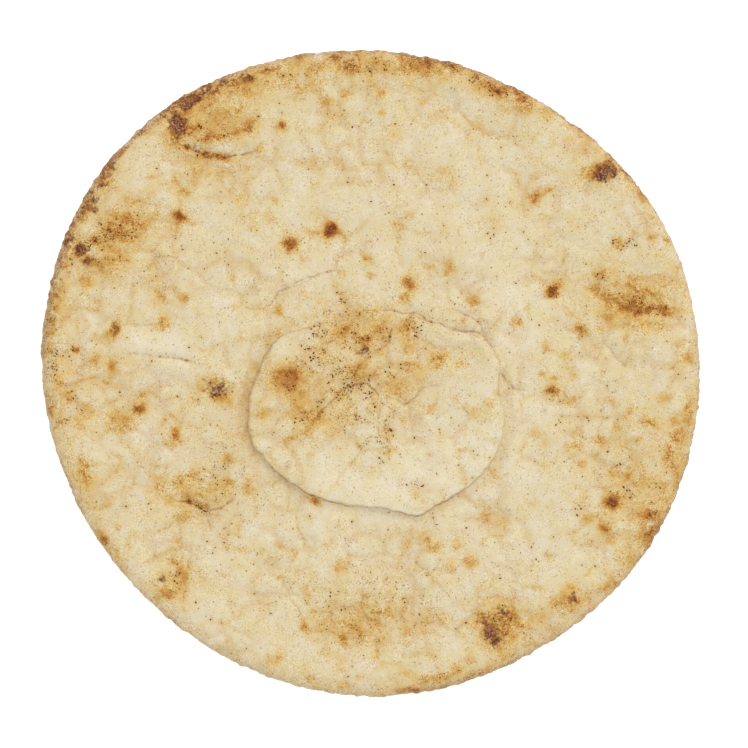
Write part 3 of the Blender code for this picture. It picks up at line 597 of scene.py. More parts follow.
def loose_creases(count, seed):
    """Short shallow wrinkles strewn over the crust, each bending a little along its way."""
    rng = np.random.default_rng(seed)
    creases = []
    for _ in range(count):
        x, y = random_place(rng, LOOSE_REACH * BREAD_RADIUS)
        heading = rng.uniform(0.0, 2.0 * math.pi)
        bend = rng.uniform(*LOOSE_BEND)
        step = rng.uniform(*LOOSE_STEP)
        route = [(x, y)]
        for _ in range(LOOSE_STEPS):
            x, y = x + step * math.cos(heading), y + step * math.sin(heading)
            heading += bend
            route.append((x, y))
        depth, width = rng.uniform(*LOOSE_DEPTH), rng.uniform(*LOOSE_WIDTH)
        creases.append(Fold(tuple(route), depth, width, LOOSE_BULGE * depth, rng.uniform(*LOOSE_LINE)))
    return creases


def near_route(route, x, y, reach):
    """Indices of the points within reach of the box round a route."""
    xs, ys = zip(*route)
    inside = (x > min(xs) - reach) & (x < max(xs) + reach) & (y > min(ys) - reach) & (y < max(ys) + reach)
    return np.flatnonzero(inside)


def crease_marks(creases, x, y):
    """Distance to the nearest crease, below 0 on its right, how dark the painted shade along that crease is,
    and how deep it cuts.
    """
    distance_to = np.full(x.shape, 2.0 * CREASE_REACH)
    darkness, cut = np.zeros(x.shape), np.zeros(x.shape)
    for crease in creases:
        near = near_route(crease.route, x, y, CREASE_REACH)
        distance, along, side = from_route(crease.route, x[near], y[near])
        dark = crease.line * run_out(along) * (1.0 - smooth(0.5 * CREASE_REACH, CREASE_REACH, distance))
        cut[near] = np.maximum(cut[near], dark * bump(distance, CREASE_WIDTH))
        nearer = distance < np.abs(distance_to[near])
        distance_to[near] = np.where(nearer, np.copysign(distance, side), distance_to[near])
        darkness[near] = np.where(nearer, dark, darkness[near])
    return distance_to, darkness, CREASE_DEPTH * cut


def flat_tree(places):
    """A search tree of places on the flat."""
    tree = KDTree(len(places))
    for index, (x, y, *_) in enumerate(places):
        tree.insert((x, y, 0.0), index)
    tree.balance()
    return tree


def pad_edges(pads, x, y):
    """How far each point is from the winding hollow between two pads, and how strong that hollow is."""
    rng = np.random.default_rng(PAD_SEED)
    steps = np.arange(-BREAD_RADIUS - pads.step, BREAD_RADIUS + 2.0 * pads.step, pads.step)
    grid = [(row, column) for row in steps for column in steps]
    tree = flat_tree([place + pads.step * rng.uniform(-PAD_SPREAD, PAD_SPREAD, 2) for place in grid])
    pad_places = zip(*slid(x, y, PAD_WANDER))
    two = np.array([[found[2] for found in tree.find_n((a, b, 0.0), 2)] for a, b in pad_places])
    strength = smooth(*PAD_PRESENT, dough_noise(x, y, PAD_PATCH, PAD_LAYER + pads.step))
    return 0.5 * (two[:, 1] - two[:, 0]), strength


def pad_relief(edges):
    """Height of the pads, from the distances and strengths of their edges."""
    relief = 0.0
    for pads, (off_edge, strength) in zip(PADS, edges):
        relief = relief - pads.height * strength * bump(off_edge, pads.round)
        relief = relief - pads.hollow_depth * strength * bump(off_edge, pads.hollow_width)
    return relief


def hollow_marks(edges):
    """Distance to the nearest hollow and how dark the shade painted in it is."""
    distance, darkness = edges[0]
    for pads, (off_edge, strength) in zip(PADS[1:], edges[1:]):
        nearer = off_edge < distance
        distance = np.where(nearer, off_edge, distance)
        darkness = np.where(nearer, pads.dark * strength, darkness)
    return np.minimum(distance, HOLLOW_REACH), darkness


def fine_relief(x, y, creases):
    """Lumps and wrinkles that are too small for the solid."""
    relief = layered_noise(x, y, LUMPS)
    for crease in creases:
        near = near_route(crease.route, x, y, FOLD_REACH * crease.width)
        relief[near] += fold_relief(crease, x[near], y[near])
    return relief


# ---------------------------------------------------------------- the crust as rings of points

RING_STEP = 0.65  # distance from ring to ring on the top
EDGE_STEP = 0.36  # the same on both sides of the blister's edge, out to EDGE_SPAN from it
EDGE_SPAN = 2.2
SHOULDER_RINGS = 10
FOOT_RINGS = 8
UNDER_STEP = 2.6
FIRST_SECTORS = 48  # points on the first rings; the count doubles with the radius
FIRST_REACH = 6.5  # rings out to here have the first count
TOP_DOUBLINGS = 4
UNDER_DOUBLINGS = 3
UNDER_REACH = 11.0  # FIRST_REACH on the underside
TOP_START = 0.99  # points over this share of the way up from the rim belong to the top
EDGE_REACH = 9.0  # the distance from the blister's edge is marked on the crust out to here

Ring = namedtuple("Ring", "radius height run sectors under")


def sectors_at(radius, reach, doublings):
    """Sectors of a ring: doubled each time the radius doubles, so that all faces stay about one size."""
    return FIRST_SECTORS * 2 ** min(max(math.ceil(math.log2(radius / reach)), 0), doublings)


def crust_rings():
    """The rings from the top's middle out over the rim, under the foot and in below."""
    body, foot_edge = BREAD_RADIUS - SHOULDER, BREAD_RADIUS - FOOT
    stops = (0.0, BLISTER_RADIUS - EDGE_SPAN, BLISTER_RADIUS + EDGE_SPAN, body)
    section = []
    for low, high, wanted in zip(stops, stops[1:], (RING_STEP, EDGE_STEP, RING_STEP)):
        count = round((high - low) / wanted)
        section += [(low + (high - low) * step / count, BODY_TOP) for step in range(1, count + 1)]
    for step in range(1, SHOULDER_RINGS + 1):
        turn = 0.5 * math.pi * step / SHOULDER_RINGS
        radius = BREAD_RADIUS - SHOULDER * (1.0 - math.sin(turn))
        section.append((radius, RIM_HEIGHT + (BODY_TOP - RIM_HEIGHT) * math.cos(turn)))
    for step in range(1, FOOT_RINGS + 1):
        turn = 0.5 * math.pi * step / FOOT_RINGS
        section.append((BREAD_RADIUS - FOOT * (1.0 - math.cos(turn)), RIM_HEIGHT * (1.0 - math.sin(turn))))
    top_count = len(section)
    count = round(foot_edge / UNDER_STEP)
    section += [(foot_edge * (1.0 - step / count), 0.0) for step in range(1, count)]

    rings, run, last = [], 0.0, (0.0, BODY_TOP)
    for index, (radius, height) in enumerate(section):
        run += math.dist(last, (radius, height))
        under = index >= top_count
        reach, doublings = (UNDER_REACH, UNDER_DOUBLINGS) if under else (FIRST_REACH, TOP_DOUBLINGS)
        rings.append(Ring(radius, height, run, sectors_at(radius, reach, doublings), under))
        last = (radius, height)
    return rings


def ring_band(inner, inner_count, outer, outer_count):
    """Faces between two rings of points, of which one may have twice the points of the other."""
    faces = []
    if inner_count == outer_count:
        for k in range(inner_count):
            after = (k + 1) % inner_count
            faces.append((inner + k, outer + k, outer + after, inner + after))
    elif outer_count == 2 * inner_count:
        for k in range(inner_count):
            here, after = inner + k, inner + (k + 1) % inner_count
            a, b, c = outer + 2 * k, outer + 2 * k + 1, outer + (2 * k + 2) % outer_count
            faces += [(here, a, b), (here, b, after), (after, b, c)]
    else:
        for k in range(outer_count):
            here, after = outer + k, outer + (k + 1) % outer_count
            a, b, c = inner + 2 * k, inner + 2 * k + 1, inner + (2 * k + 2) % inner_count
            faces += [(a, here, b), (here, after, b), (b, after, c)]
    return faces


def ring_faces(rings):
    """Faces from pole to pole, and how many of them belong to the top and rim."""
    first = rings[0].sectors
    faces = [(0, 1 + k, 1 + (k + 1) % first) for k in range(first)]
    start = 1
    top_faces = 0
    for ring, following in zip(rings, rings[1:]):
        if following.under and not top_faces:
            top_faces = len(faces)
        faces += ring_band(start, ring.sectors, start + ring.sectors, following.sectors)
        start += ring.sectors
    last = rings[-1].sectors
    pole = start + last
    faces += [(pole, start + (k + 1) % last, start + k) for k in range(last)]
    return faces, top_faces


def over_rings(rings, first, values, last):
    """A value for each point: one for each ring, with those of both poles put before and after."""
    return np.concatenate([[first], np.repeat(values, [ring.sectors for ring in rings]), [last]])


def point_bearings(rings):
    """The bearing of each point in degrees, from pole to pole."""
    turns = [np.arange(ring.sectors) * 360.0 / ring.sectors for ring in rings]
    return np.concatenate([[0.0], *turns, [0.0]])


def place_on_bread(radius, bearing):
    """Where the rings come to lie once they follow the blister's edge and the outline."""
    east, north = np.cos(np.radians(bearing)), np.sin(np.radians(bearing))
    reach = around(BLISTER_EDGE, bearing)
    body_edge = BREAD_RADIUS - FOOT
    rim = outline_radius(bearing)
    share = np.clip((radius - BLISTER_RADIUS) / (body_edge - BLISTER_RADIUS), 0.0, 1.0)
    beyond = np.clip(radius - body_edge, 0.0, None)
    inside = np.minimum(radius / BLISTER_RADIUS, 1.0)
    places = []
    for centre, direction in zip(BLISTER_CENTRE, (east, north)):
        on_blister = centre + direction * reach * inside
        on_rim = direction * (rim - FOOT)
        places.append(on_blister * (1.0 - share) + on_rim * share + direction * beyond)
    return places


def shape_crust(rings, creases, fine, relief_scale):
    """Places of all the crust's points, with the marks that the crust material reads."""
    radius = over_rings(rings, 0.0, [ring.radius for ring in rings], 0.0)
    height = over_rings(rings, BODY_TOP, [ring.height for ring in rings], 0.0)
    bearing = point_bearings(rings)
    x, y = place_on_bread(radius, bearing)
    upper = smooth(RIM_HEIGHT, BODY_TOP, height)
    rim_share = smooth(BREAD_RADIUS - 3.0 * SHOULDER, BREAD_RADIUS - SHOULDER, radius)
    distance = np.maximum(np.hypot(x, y), NEARLY_NOTHING)
    lean = around(WALL_LEAN, bearing) * upper * rim_share
    x, y = x - lean * x / distance, y - lean * y / distance

    outer_bearing, distance = bearing_and_distance(x, y)
    inset = outline_radius(outer_bearing) - distance
    lift_share = smooth(RIM_LIFT_START, 1.0, distance / outline_radius(outer_bearing))
    form_x, form_y = slid(x, y, WANDER)
    distance_to, darkness, cut = crease_marks(creases, form_x, form_y)
    edges = [pad_edges(pads, form_x, form_y) for pads in PADS]
    hollow, hollow_darkness = hollow_marks(edges)
    above = smooth(*UNDER_START, height / RIM_HEIGHT)
    marks = {
        "crease": distance_to,
        # painted shade along the creases, and further on in the hollows and under the blister's lip
        "crease_darkness": np.where(upper > 0.0, darkness, 0.0),
        "hollow": hollow,
        "hollow_darkness": hollow_darkness,
        "edge": np.clip(blister_place(form_x, form_y)[0], -EDGE_REACH, EDGE_REACH),
        "edge_darkness": around(LIP_SHADOW, blister_place(x, y)[1]) * (upper > TOP_START),
    }
    marks.update(browning_marks(x, y, inset, upper, above))

    wrinkles = fine_relief(form_x, form_y, fine) + pad_relief(edges) - cut
    relief = form_relief(form_x, form_y) + relief_scale * wrinkles
    relief -= BLISTER_PITS * marks["burnt"]
    z = height + around(RIM_LIFT, outer_bearing) * lift_share + upper * relief
    clear_of_floor = sum(lump_height for _, lump_height, _ in UNDER_LUMPS)
    z += (1.0 - above) * (clear_of_floor + layered_noise(x, y, UNDER_LUMPS))
    x, y = lip_shape(x, y, upper)
    x, y = rim_shape(x, y, height)
    return np.column_stack((x, y, z)), marks


def lip_shape(x, y, upper):
    """Leans the blister's lip out over its groove where the edge is crisp."""
    inset, bearing, distance = blister_place(*slid(x, y, WANDER))
    distance = np.maximum(distance, NEARLY_NOTHING)
    strength = around(BLISTER_STRENGTH, bearing) * (upper > TOP_START)
    push = strength * sum(reach * bump(inset - middle, half) for reach, middle, half in LIP_LEAN)
    return (
        x + push * (x - BLISTER_CENTRE[0]) / distance,
        y + push * (y - BLISTER_CENTRE[1]) / distance,
    )


def rim_shape(x, y, height):
    """Makes the outline ragged, and draws in a seam along the widest line of the rim."""
    distance = np.maximum(np.hypot(x, y), NEARLY_NOTHING)
    at_rim = smooth(*(BREAD_RADIUS - share * SHOULDER for share in RAGGED_START), distance)
    seam = SEAM_DEPTH * bump(height - RIM_HEIGHT, SEAM_WIDTH) * (1.0 + dough_noise(x, y, *SEAM_PATCH))
    push = at_rim * (layered_noise(x, y, RAGGED_RIM) - seam)
    return x + push * x / distance, y + push * y / distance


# ---------------------------------------------------------------- browning laid over the crust

# Small faint smudges are strewn over the top, and larger and darker ones over the underside: how many, the
# seed of their draws, and the least and most of their length and of how far they are baked
Smudges = namedtuple("Smudges", "count seed length baked")
TOP_SMUDGES = Smudges(330, 5, (1.6, 6.0), (0.05, 0.22))
UNDER_SMUDGES = Smudges(190, 6, (2.5, 17.0), (0.08, 0.62))
SMUDGE_WIDTH = (0.5, 0.95)  # width as a share of the length
UNDER_START = (0.05, 0.5)  # the wall's marks give way to the underside's over these shares of its height
UNDER_FLOURED = 0.3
UNDER_SPECKED = 0.3
SPOT_STRETCH = (1.0075, 1.003)  # the tables' places of spots are this much further out than those on the mesh
SPOT_SLIDE = (-0.13, 0.33)  # and slid by this
SPOT_WANDER = ((3.2, 1.1, 41.0), (1.3, 0.4, 43.0))  # the outlines of spots wander, given as for WANDER
SPOT_FALL = 1.35  # how squarely the core of a spot ends: 1 is a bell
SPOT_HALO = 1.8  # a faint halo is this much wider than the core
HALO_SHARE = 0.28
SPECKED_FULL = 40.0  # a patch with this many specks is marked as fully specked
SIDE_START = (0.24, 0.4)  # the side's skin begins over these shares of the way down the rim
RIM_DRY = 0.25  # the crust beside the edge is as dry and granular as the side by this share
RIM_DRY_REACH = (1.0, 6.0)
RIM_UNEVEN = ((6.0, 1.1, 51.0), (2.2, 0.7, 52.0))  # the rim's browning comes and goes, as for WANDER
RIM_FADE = (0.3, 1.8)  # the band beside the edge fades between these shares of its width
GROOVE_SHARE = 0.75  # half width of the groove's shade as a share of its reach
# the groove's shade is painted into the colour
UNION = 3.0  # spots that overlap add up as this power of their strengths


def union(*covers):
    """One cover from several: a little more than the strongest of them, wherever they overlap."""
    return np.minimum(sum(cover**UNION for cover in covers) ** (1.0 / UNION), 1.0)


def spot_cover(spots, x, y):
    """How strongly a set of spots covers each point, from 0 to 1."""
    total = np.zeros(x.shape)
    for place_x, place_y, length, width, turn, strength in spots:
        reach = SPOT_HALO * (length + width)
        near = np.flatnonzero((np.abs(x - place_x) < reach) & (np.abs(y - place_y) < reach))
        east, north = math.cos(math.radians(turn)), math.sin(math.radians(turn))
        dx, dy = x[near] - place_x, y[near] - place_y
        along = (dx * east + dy * north) / (0.5 * length)
        across = (dy * east - dx * north) / (0.5 * width)
        out = along**2 + across**2
        cover = (1.0 - HALO_SHARE) * np.exp(-(out**SPOT_FALL)) + HALO_SHARE * np.exp(-out / SPOT_HALO**2)
        total[near] += (strength * cover) ** UNION
    return np.minimum(total ** (1.0 / UNION), 1.0)


def loose_spots(smudges):
    """Spots of random size and strength strewn over the bread."""
    rng = np.random.default_rng(smudges.seed)
    spots = []
    for _ in range(smudges.count):
        place = random_place(rng, BREAD_RADIUS)
        length = rng.uniform(*smudges.length)
        width = length * rng.uniform(*SMUDGE_WIDTH)
        spots.append((*place, length, width, rng.uniform(0.0, 180.0), rng.uniform(*smudges.baked)))
    return spots


def painted_groove_shade(x, y):
    """Painted shade: a tan shadow in the groove outside the blister's lip."""
    inset, bearing, _ = blister_place(x, y)
    reach = around(GROOVE_REACH, bearing)
    return around(GROOVE_PAINTED_SHADE, bearing) * bump(inset + 0.5 * reach, GROOVE_SHARE * reach)


def rim_baked(bearing, inset, upper, x, y):
    """Browning along the rim, uneven along it: a band beside the edge, and the side wall."""
    band = around(RIM_BAND, bearing)
    beside = around(RIM_BROWNING, bearing) * (1.0 - smooth(RIM_FADE[0] * band, RIM_FADE[1] * band, inset))
    wall = around(WALL_BROWNING, bearing) * smooth(*SIDE_START, 1.0 - upper)
    return np.clip(np.maximum(beside, wall) * (1.0 + layered_noise(x, y, RIM_UNEVEN)), 0.0, 1.0)


def browning_marks(x, y, inset, upper, above):
    """How far each point is baked, burnt, floured, specked and darkened by painted shade in the groove, from
    0 to 1.
    """
    bearing, _ = bearing_and_distance(x, y)
    slid_x, slid_y = layered_noise(x, y, SPOT_WANDER), layered_noise(x, y, SPOT_WANDER, 1.0)
    spot_x = SPOT_STRETCH[0] * x + SPOT_SLIDE[0] + slid_x
    spot_y = SPOT_STRETCH[1] * y + SPOT_SLIDE[1] + slid_y
    covers = [spot_cover(spots, spot_x, spot_y) for spots in (SPOTS, WASHES, loose_spots(TOP_SMUDGES))]
    side = smooth(*SIDE_START, 1.0 - upper)
    dry = RIM_DRY * (1.0 - smooth(*RIM_DRY_REACH, inset))
    specked = [(*patch[:5], min(1.0, patch[5] / SPECKED_FULL)) for patch in SPECK_PATCHES]
    # each mark as it is on the top and rim, and on the underside
    marks = {
        "baked": (
            union(*covers, rim_baked(bearing, inset, upper, x, y)),
            spot_cover(loose_spots(UNDER_SMUDGES), spot_x, spot_y),
        ),
        "burnt": (spot_cover(BURNT, spot_x, spot_y), 0.0),
        "side": (np.maximum(side, dry), 0.0),
        "floured": (spot_cover(FLOUR, spot_x, spot_y), UNDER_FLOURED),
        "paler": (spot_cover(PALER, spot_x, spot_y), 0.0),
        "specked": (spot_cover(specked, x, y), UNDER_SPECKED),
        # painted shade in the groove outside the blister's lip
        "shaded": (np.where(upper > 0.5, painted_groove_shade(x, y), 0.0), 0.0),
    }
    return {name: above * over + (1.0 - above) * under for name, (over, under) in marks.items()}


# ---------------------------------------------------------------- building the crust

STAIN_SIZE = 0.45  # grains over this share of the largest size stain the crust round them
STAIN_REACH = 0.9  # out to about this far
MAP_TOP = ((0.395, 0.605), 0.39)  # where the top and rim lie on the flat map: middle and radius
MAP_UNDER = ((0.81, 0.19), 0.185)


def fit_to_box(points, box):
    """Slides and scales the points so that their box is the solid's."""
    low, high = points.min(axis=0), points.max(axis=0)
    wanted_low, wanted_high = np.array(box[0]) / MM, np.array(box[1]) / MM
    return wanted_low + (points - low) * (wanted_high - wanted_low) / (high - low)


def flat_map(mesh, rings, top_faces):
    """Lays the crust flat: the top and rim as one disc, the underside as a smaller one."""
    bearing = np.radians(point_bearings(rings))
    run = over_rings(rings, 0.0, [ring.run for ring in rings], rings[-1].run + rings[-1].radius)
    seam = max(ring.run for ring in rings if not ring.under)
    corners = np.zeros(len(mesh.loops), np.int32)
    mesh.loops.foreach_get("vertex_index", corners)
    starts = np.zeros(len(mesh.polygons), np.int32)
    mesh.polygons.foreach_get("loop_start", starts)
    on_top = np.arange(len(corners)) < starts[top_faces]
    east, north = np.cos(bearing[corners]), np.sin(bearing[corners])
    out_top = MAP_TOP[1] * run[corners] / seam
    out_under = MAP_UNDER[1] * (run[-1] - run[corners]) / (run[-1] - seam)
    u = np.where(on_top, MAP_TOP[0][0] + out_top * east, MAP_UNDER[0][0] - out_under * east)
    v = np.where(on_top, MAP_TOP[0][1] + out_top * north, MAP_UNDER[0][1] + out_under * north)
    layer = mesh.uv_layers.new(name="OFBake")
    layer.data.foreach_set("uv", np.column_stack((u, v)).ravel())


def set_marks(mesh, marks):
    """Lays the marks over the mesh, one value at each point."""
    for name, values in marks.items():
        attribute = mesh.attributes.new(name, 'FLOAT', 'POINT')
        attribute.data.foreach_set("value", values.astype(np.float32))


def stains(points, settings):
    """How far each point is stained brown by the scorched grains beside it, from 0 to 1."""
    tree = flat_tree([place for place in fleck_places(settings) if place[2] > STAIN_SIZE])
    distance = np.array([tree.find((x, y, 0.0))[2] for x, y, _ in points])
    return bump(distance, STAIN_REACH)


def add_object(name, data):
    """A new object in the scene."""
    made = bpy.data.objects.new(name, data)
    bpy.context.scene.collection.objects.link(made)
    return made


def crust_piece(settings):
    """The whole crust as one closed mesh in the place of the solid."""
    rings = crust_rings()
    faces, top_faces = ring_faces(rings)
    fine = list(CREASES) + loose_creases(settings.creases, settings.seed)
    points, marks = shape_crust(rings, list(FOLDS) + fine, fine, settings.relief)
    points = fit_to_box(points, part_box(SOLID))
    marks["stained"] = stains(points, settings)

    mesh = bpy.data.meshes.new("baked_crust")
    mesh.from_pydata([tuple(point) for point in points * MM], [], faces)
    mesh.shade_smooth()
    set_marks(mesh, marks)
    flat_map(mesh, rings, top_faces)
    mesh.materials.append(crust_material(settings))
    mesh.materials.append(base_material(settings))
    under = np.zeros(len(faces), np.int32)
    under[top_faces:] = 1
    mesh.polygons.foreach_set("material_index", under)
    mesh.update()
    return add_object("baked_crust", mesh)


# ---------------------------------------------------------------- material building blocks

PER_METRE = 1000.0  # the groups work in millimetres, and object coordinates are in metres

# Noise of a material: the size of its lumps in millimetres, its detail and its roughness. The ranges below
# are where a value starts and ends being remapped, followed by what it becomes there if that isn't 0 and 1.
Noise = namedtuple("Noise", "size detail rough")

GRAIN_LUMPS = Noise(1.6, 2.0, 0.5)
FLOURY_GRAIN = Noise(0.4, 3.0, 0.65)
PORE_SPACING = 2.4
# A pore's side rises between these shares of the spacing, and between these shares of the grain's height
PORE_SIDE = (0.05, 0.2, -0.5, 0.0)

HALF_BAKED = 1.2  # crust that is baked by half of this is the most uneven
RAW_SHADE = 0.2  # where plain dough lies between the palest colour, 0, and dark brown, 1
BAKED_SHADE = 0.95  # how much further baking takes it
# Noise that breaks up the browning, its swing on raw crust, and how much wider it is on half-baked crust
FINE_SWINGS = ((Noise(1.2, 2.0, 0.55), 0.16, 1.3), (Noise(0.45, 2.0, 0.6), 0.16, 1.7))
BROAD_SWINGS = ((Noise(9.0, 2.0, 0.5), 0.25, 0.0), (Noise(3.2, 2.0, 0.5), 0.19, 0.7))
LIVELY = Noise(6.0, 1.0, 0.5)  # the fine swings are livelier in some places
LIVELY_RANGE = (0.32, 0.68, 0.35, 1.6)
SHADES = (
    (0.0, "pale"), (0.12, "cream"), (0.24, "dough"), (0.36, "straw"),
    (0.5, "golden"), (0.64, "toasted"), (0.8, "brown"), (0.95, "dark"),
)
YELLOW = Noise(5.0, 4.0, 0.6)  # patches of yellower crust
YELLOW_RANGE = (0.36, 0.64)
CRUMBS = Noise(0.8, 3.0, 0.7)  # burnt crust and flour break up into crumbs and clots
CLOTS = Noise(2.4, 2.0, 0.5)
BURNT_BREAKUP = 1.8
BURNT_MARKED = (0.04, 0.25)  # nothing burns where the mark is lower than this
BURNT_RANGE = (0.3, 0.95)
EMBERS = Noise(1.3, 3.0, 0.6)  # dark brown left in burnt crust
EMBERS_RANGE = (0.42, 0.6)
ASH = Noise(0.5, 3.0, 0.75)  # ashy flakes on the most burnt crust
ASH_RANGE = (0.5, 0.65)
ASH_MARKED = (0.35, 0.8)
DUST_BREAKUP = 0.9
DUST_RANGE = (0.2, 0.9)
DUST_MARKED = (0.05, 0.2)

DOT_SIZES = (0.0, 1.0, 0.4, 1.0)  # the least dots are this share as large and as dark
DOT_STRENGTHS = (0.0, 1.0, 0.45, 1.0)
DOT_EDGE = (0.6, 1.1, 1.0, 0.0)  # a dot fades out between these shares of its size
PEPPER_DETAIL, PEPPER_ROUGH = 2.0, 0.55
PEPPER_RANGE = (0.63, 0.8)
PEPPER_PATCHES = Noise(2.6, 3.0, 0.6)
PEPPER_GATHERED = 0.45  # how much thicker it is in the patches
PEPPER_DENSITY = 0.16


def add_node(tree, kind, inputs=None, **settings):
    """A node with its settings made and its inputs, given by name or number, set or linked."""
    made = tree.nodes.new(kind)
    for name, value in settings.items():
        setattr(made, name, value)
    for key, value in (inputs or {}).items():
        if isinstance(value, bpy.types.NodeSocket):
            tree.links.new(value, made.inputs[key])
        else:
            made.inputs[key].default_value = value
    return made


def maths(tree, operation, first, second=0.0, third=0.0, clamp=False):
    """One step of arithmetic; 'MULTIPLY_ADD' is first times second plus third."""
    inputs = {0: first, 1: second, 2: third}
    return add_node(tree, "ShaderNodeMath", inputs, operation=operation, use_clamp=clamp).outputs[0]


def noise_value(tree, place, kind):
    """Noise from 0 to 1."""
    inputs = {"Vector": place, "Scale": 1.0 / kind.size, "Detail": kind.detail, "Roughness": kind.rough}
    return add_node(tree, "ShaderNodeTexNoise", inputs).outputs["Fac"]


def noise_swing(tree, place, kind):
    """The same noise about 0."""
    return maths(tree, 'SUBTRACT', noise_value(tree, place, kind), 0.5)


def remap(tree, value, low, high, to_low=0.0, to_high=1.0, smooth_ends=False):
    """The value remapped from one range to another and kept within it."""
    return add_node(
        tree, "ShaderNodeMapRange", {"Value": value, 1: low, 2: high, 3: to_low, 4: to_high},
        interpolation_type='SMOOTHSTEP' if smooth_ends else 'LINEAR',
    ).outputs["Result"]


def opaque(colour):
    """A plain colour with its alpha; a linked one stays as it is."""
    return colour if isinstance(colour, bpy.types.NodeSocket) else (*colour, 1.0)


def mix_colour(tree, share, first, second, blend='MIX'):
    """The first colour with a share of the second mixed or multiplied in."""
    inputs = {0: share, 6: opaque(first), 7: opaque(second)}
    return add_node(
        tree, "ShaderNodeMix", inputs, data_type='RGBA', blend_type=blend, clamp_factor=True
    ).outputs[2]


def ramp_colour(tree, value, stops):
    """Colour from a ramp through (position, colour) stops."""
    node = add_node(tree, "ShaderNodeValToRGB", {"Fac": value})
    ramp = node.color_ramp
    while len(ramp.elements) < len(stops):
        ramp.elements.new(0.5)
    for element, (position, colour) in zip(ramp.elements, stops):
        element.position = position
        element.color = opaque(colour)
    return node.outputs["Color"]


def cells(tree, place, scale):
    """Cells of a random pattern: the distance to the middle of each, and its own random colour."""
    inputs = {"Vector": place, "Scale": scale, "Randomness": 1.0}
    return add_node(tree, "ShaderNodeTexVoronoi", inputs, feature='F1').outputs


def new_group(name, inputs, outputs):
    """A shader node group with Place, inputs by name and default, and outputs: values, or colours by name."""
    group = bpy.data.node_groups.new(name, 'ShaderNodeTree')
    group.interface.new_socket(name="Place", in_out='INPUT', socket_type='NodeSocketVector')
    for label, default in inputs.items():
        socket = group.interface.new_socket(name=label, in_out='INPUT', socket_type='NodeSocketFloat')
        socket.default_value = default
    for label in outputs:
        kind = 'NodeSocketColor' if label == "Color" else 'NodeSocketFloat'
        group.interface.new_socket(name=label, in_out='OUTPUT', socket_type=kind)
    return group, group.nodes.new("NodeGroupInput").outputs


def give_out(group, values):
    """Links the group's outputs, given by name."""
    result = group.nodes.new("NodeGroupOutput").inputs
    for name, value in values.items():
        group.links.new(value, result[name])
    return group


def place_group(tree, group, inputs):
    """A group placed in a material, with its inputs set or linked."""
    return add_node(tree, "ShaderNodeGroup", inputs, node_tree=group).outputs


def shared_group(name, make, *values):
    """A group that is built once and then placed in each material that uses it."""
    return bpy.data.node_groups.get(name) or make(*values)


def mark(tree, name):
    """One of the marks laid over the crust, as a value."""
    node = add_node(tree, "ShaderNodeAttribute", attribute_type='GEOMETRY', attribute_name=name)
    return node.outputs["Fac"]


def place_in_mm(tree):
    """Object coordinates in millimetres."""
    coordinates = add_node(tree, "ShaderNodeTexCoord").outputs["Object"]
    inputs = {0: coordinates, "Scale": PER_METRE}
    return add_node(tree, "ShaderNodeVectorMath", inputs, operation='SCALE').outputs[0]


def grain_group():
    """Fine surface of dry dough: soft lumps, floury grain and small pores, as a height in millimetres."""
    group, given = new_group("Dough grain", {"Lumps": 0.1, "Grain": 0.03}, ("Height", "Tone"))
    place = given["Place"]
    grain = noise_value(group, place, FLOURY_GRAIN)
    pores = cells(group, place, 1.0 / PORE_SPACING)["Distance"]
    height = maths(group, 'MULTIPLY', noise_value(group, place, GRAIN_LUMPS), given["Lumps"])
    for part in (grain, remap(group, pores, *PORE_SIDE, smooth_ends=True)):
        height = maths(group, 'MULTIPLY_ADD', part, given["Grain"], height)
    return give_out(group, {"Height": height, "Tone": maths(group, 'SUBTRACT', grain, 0.5)})


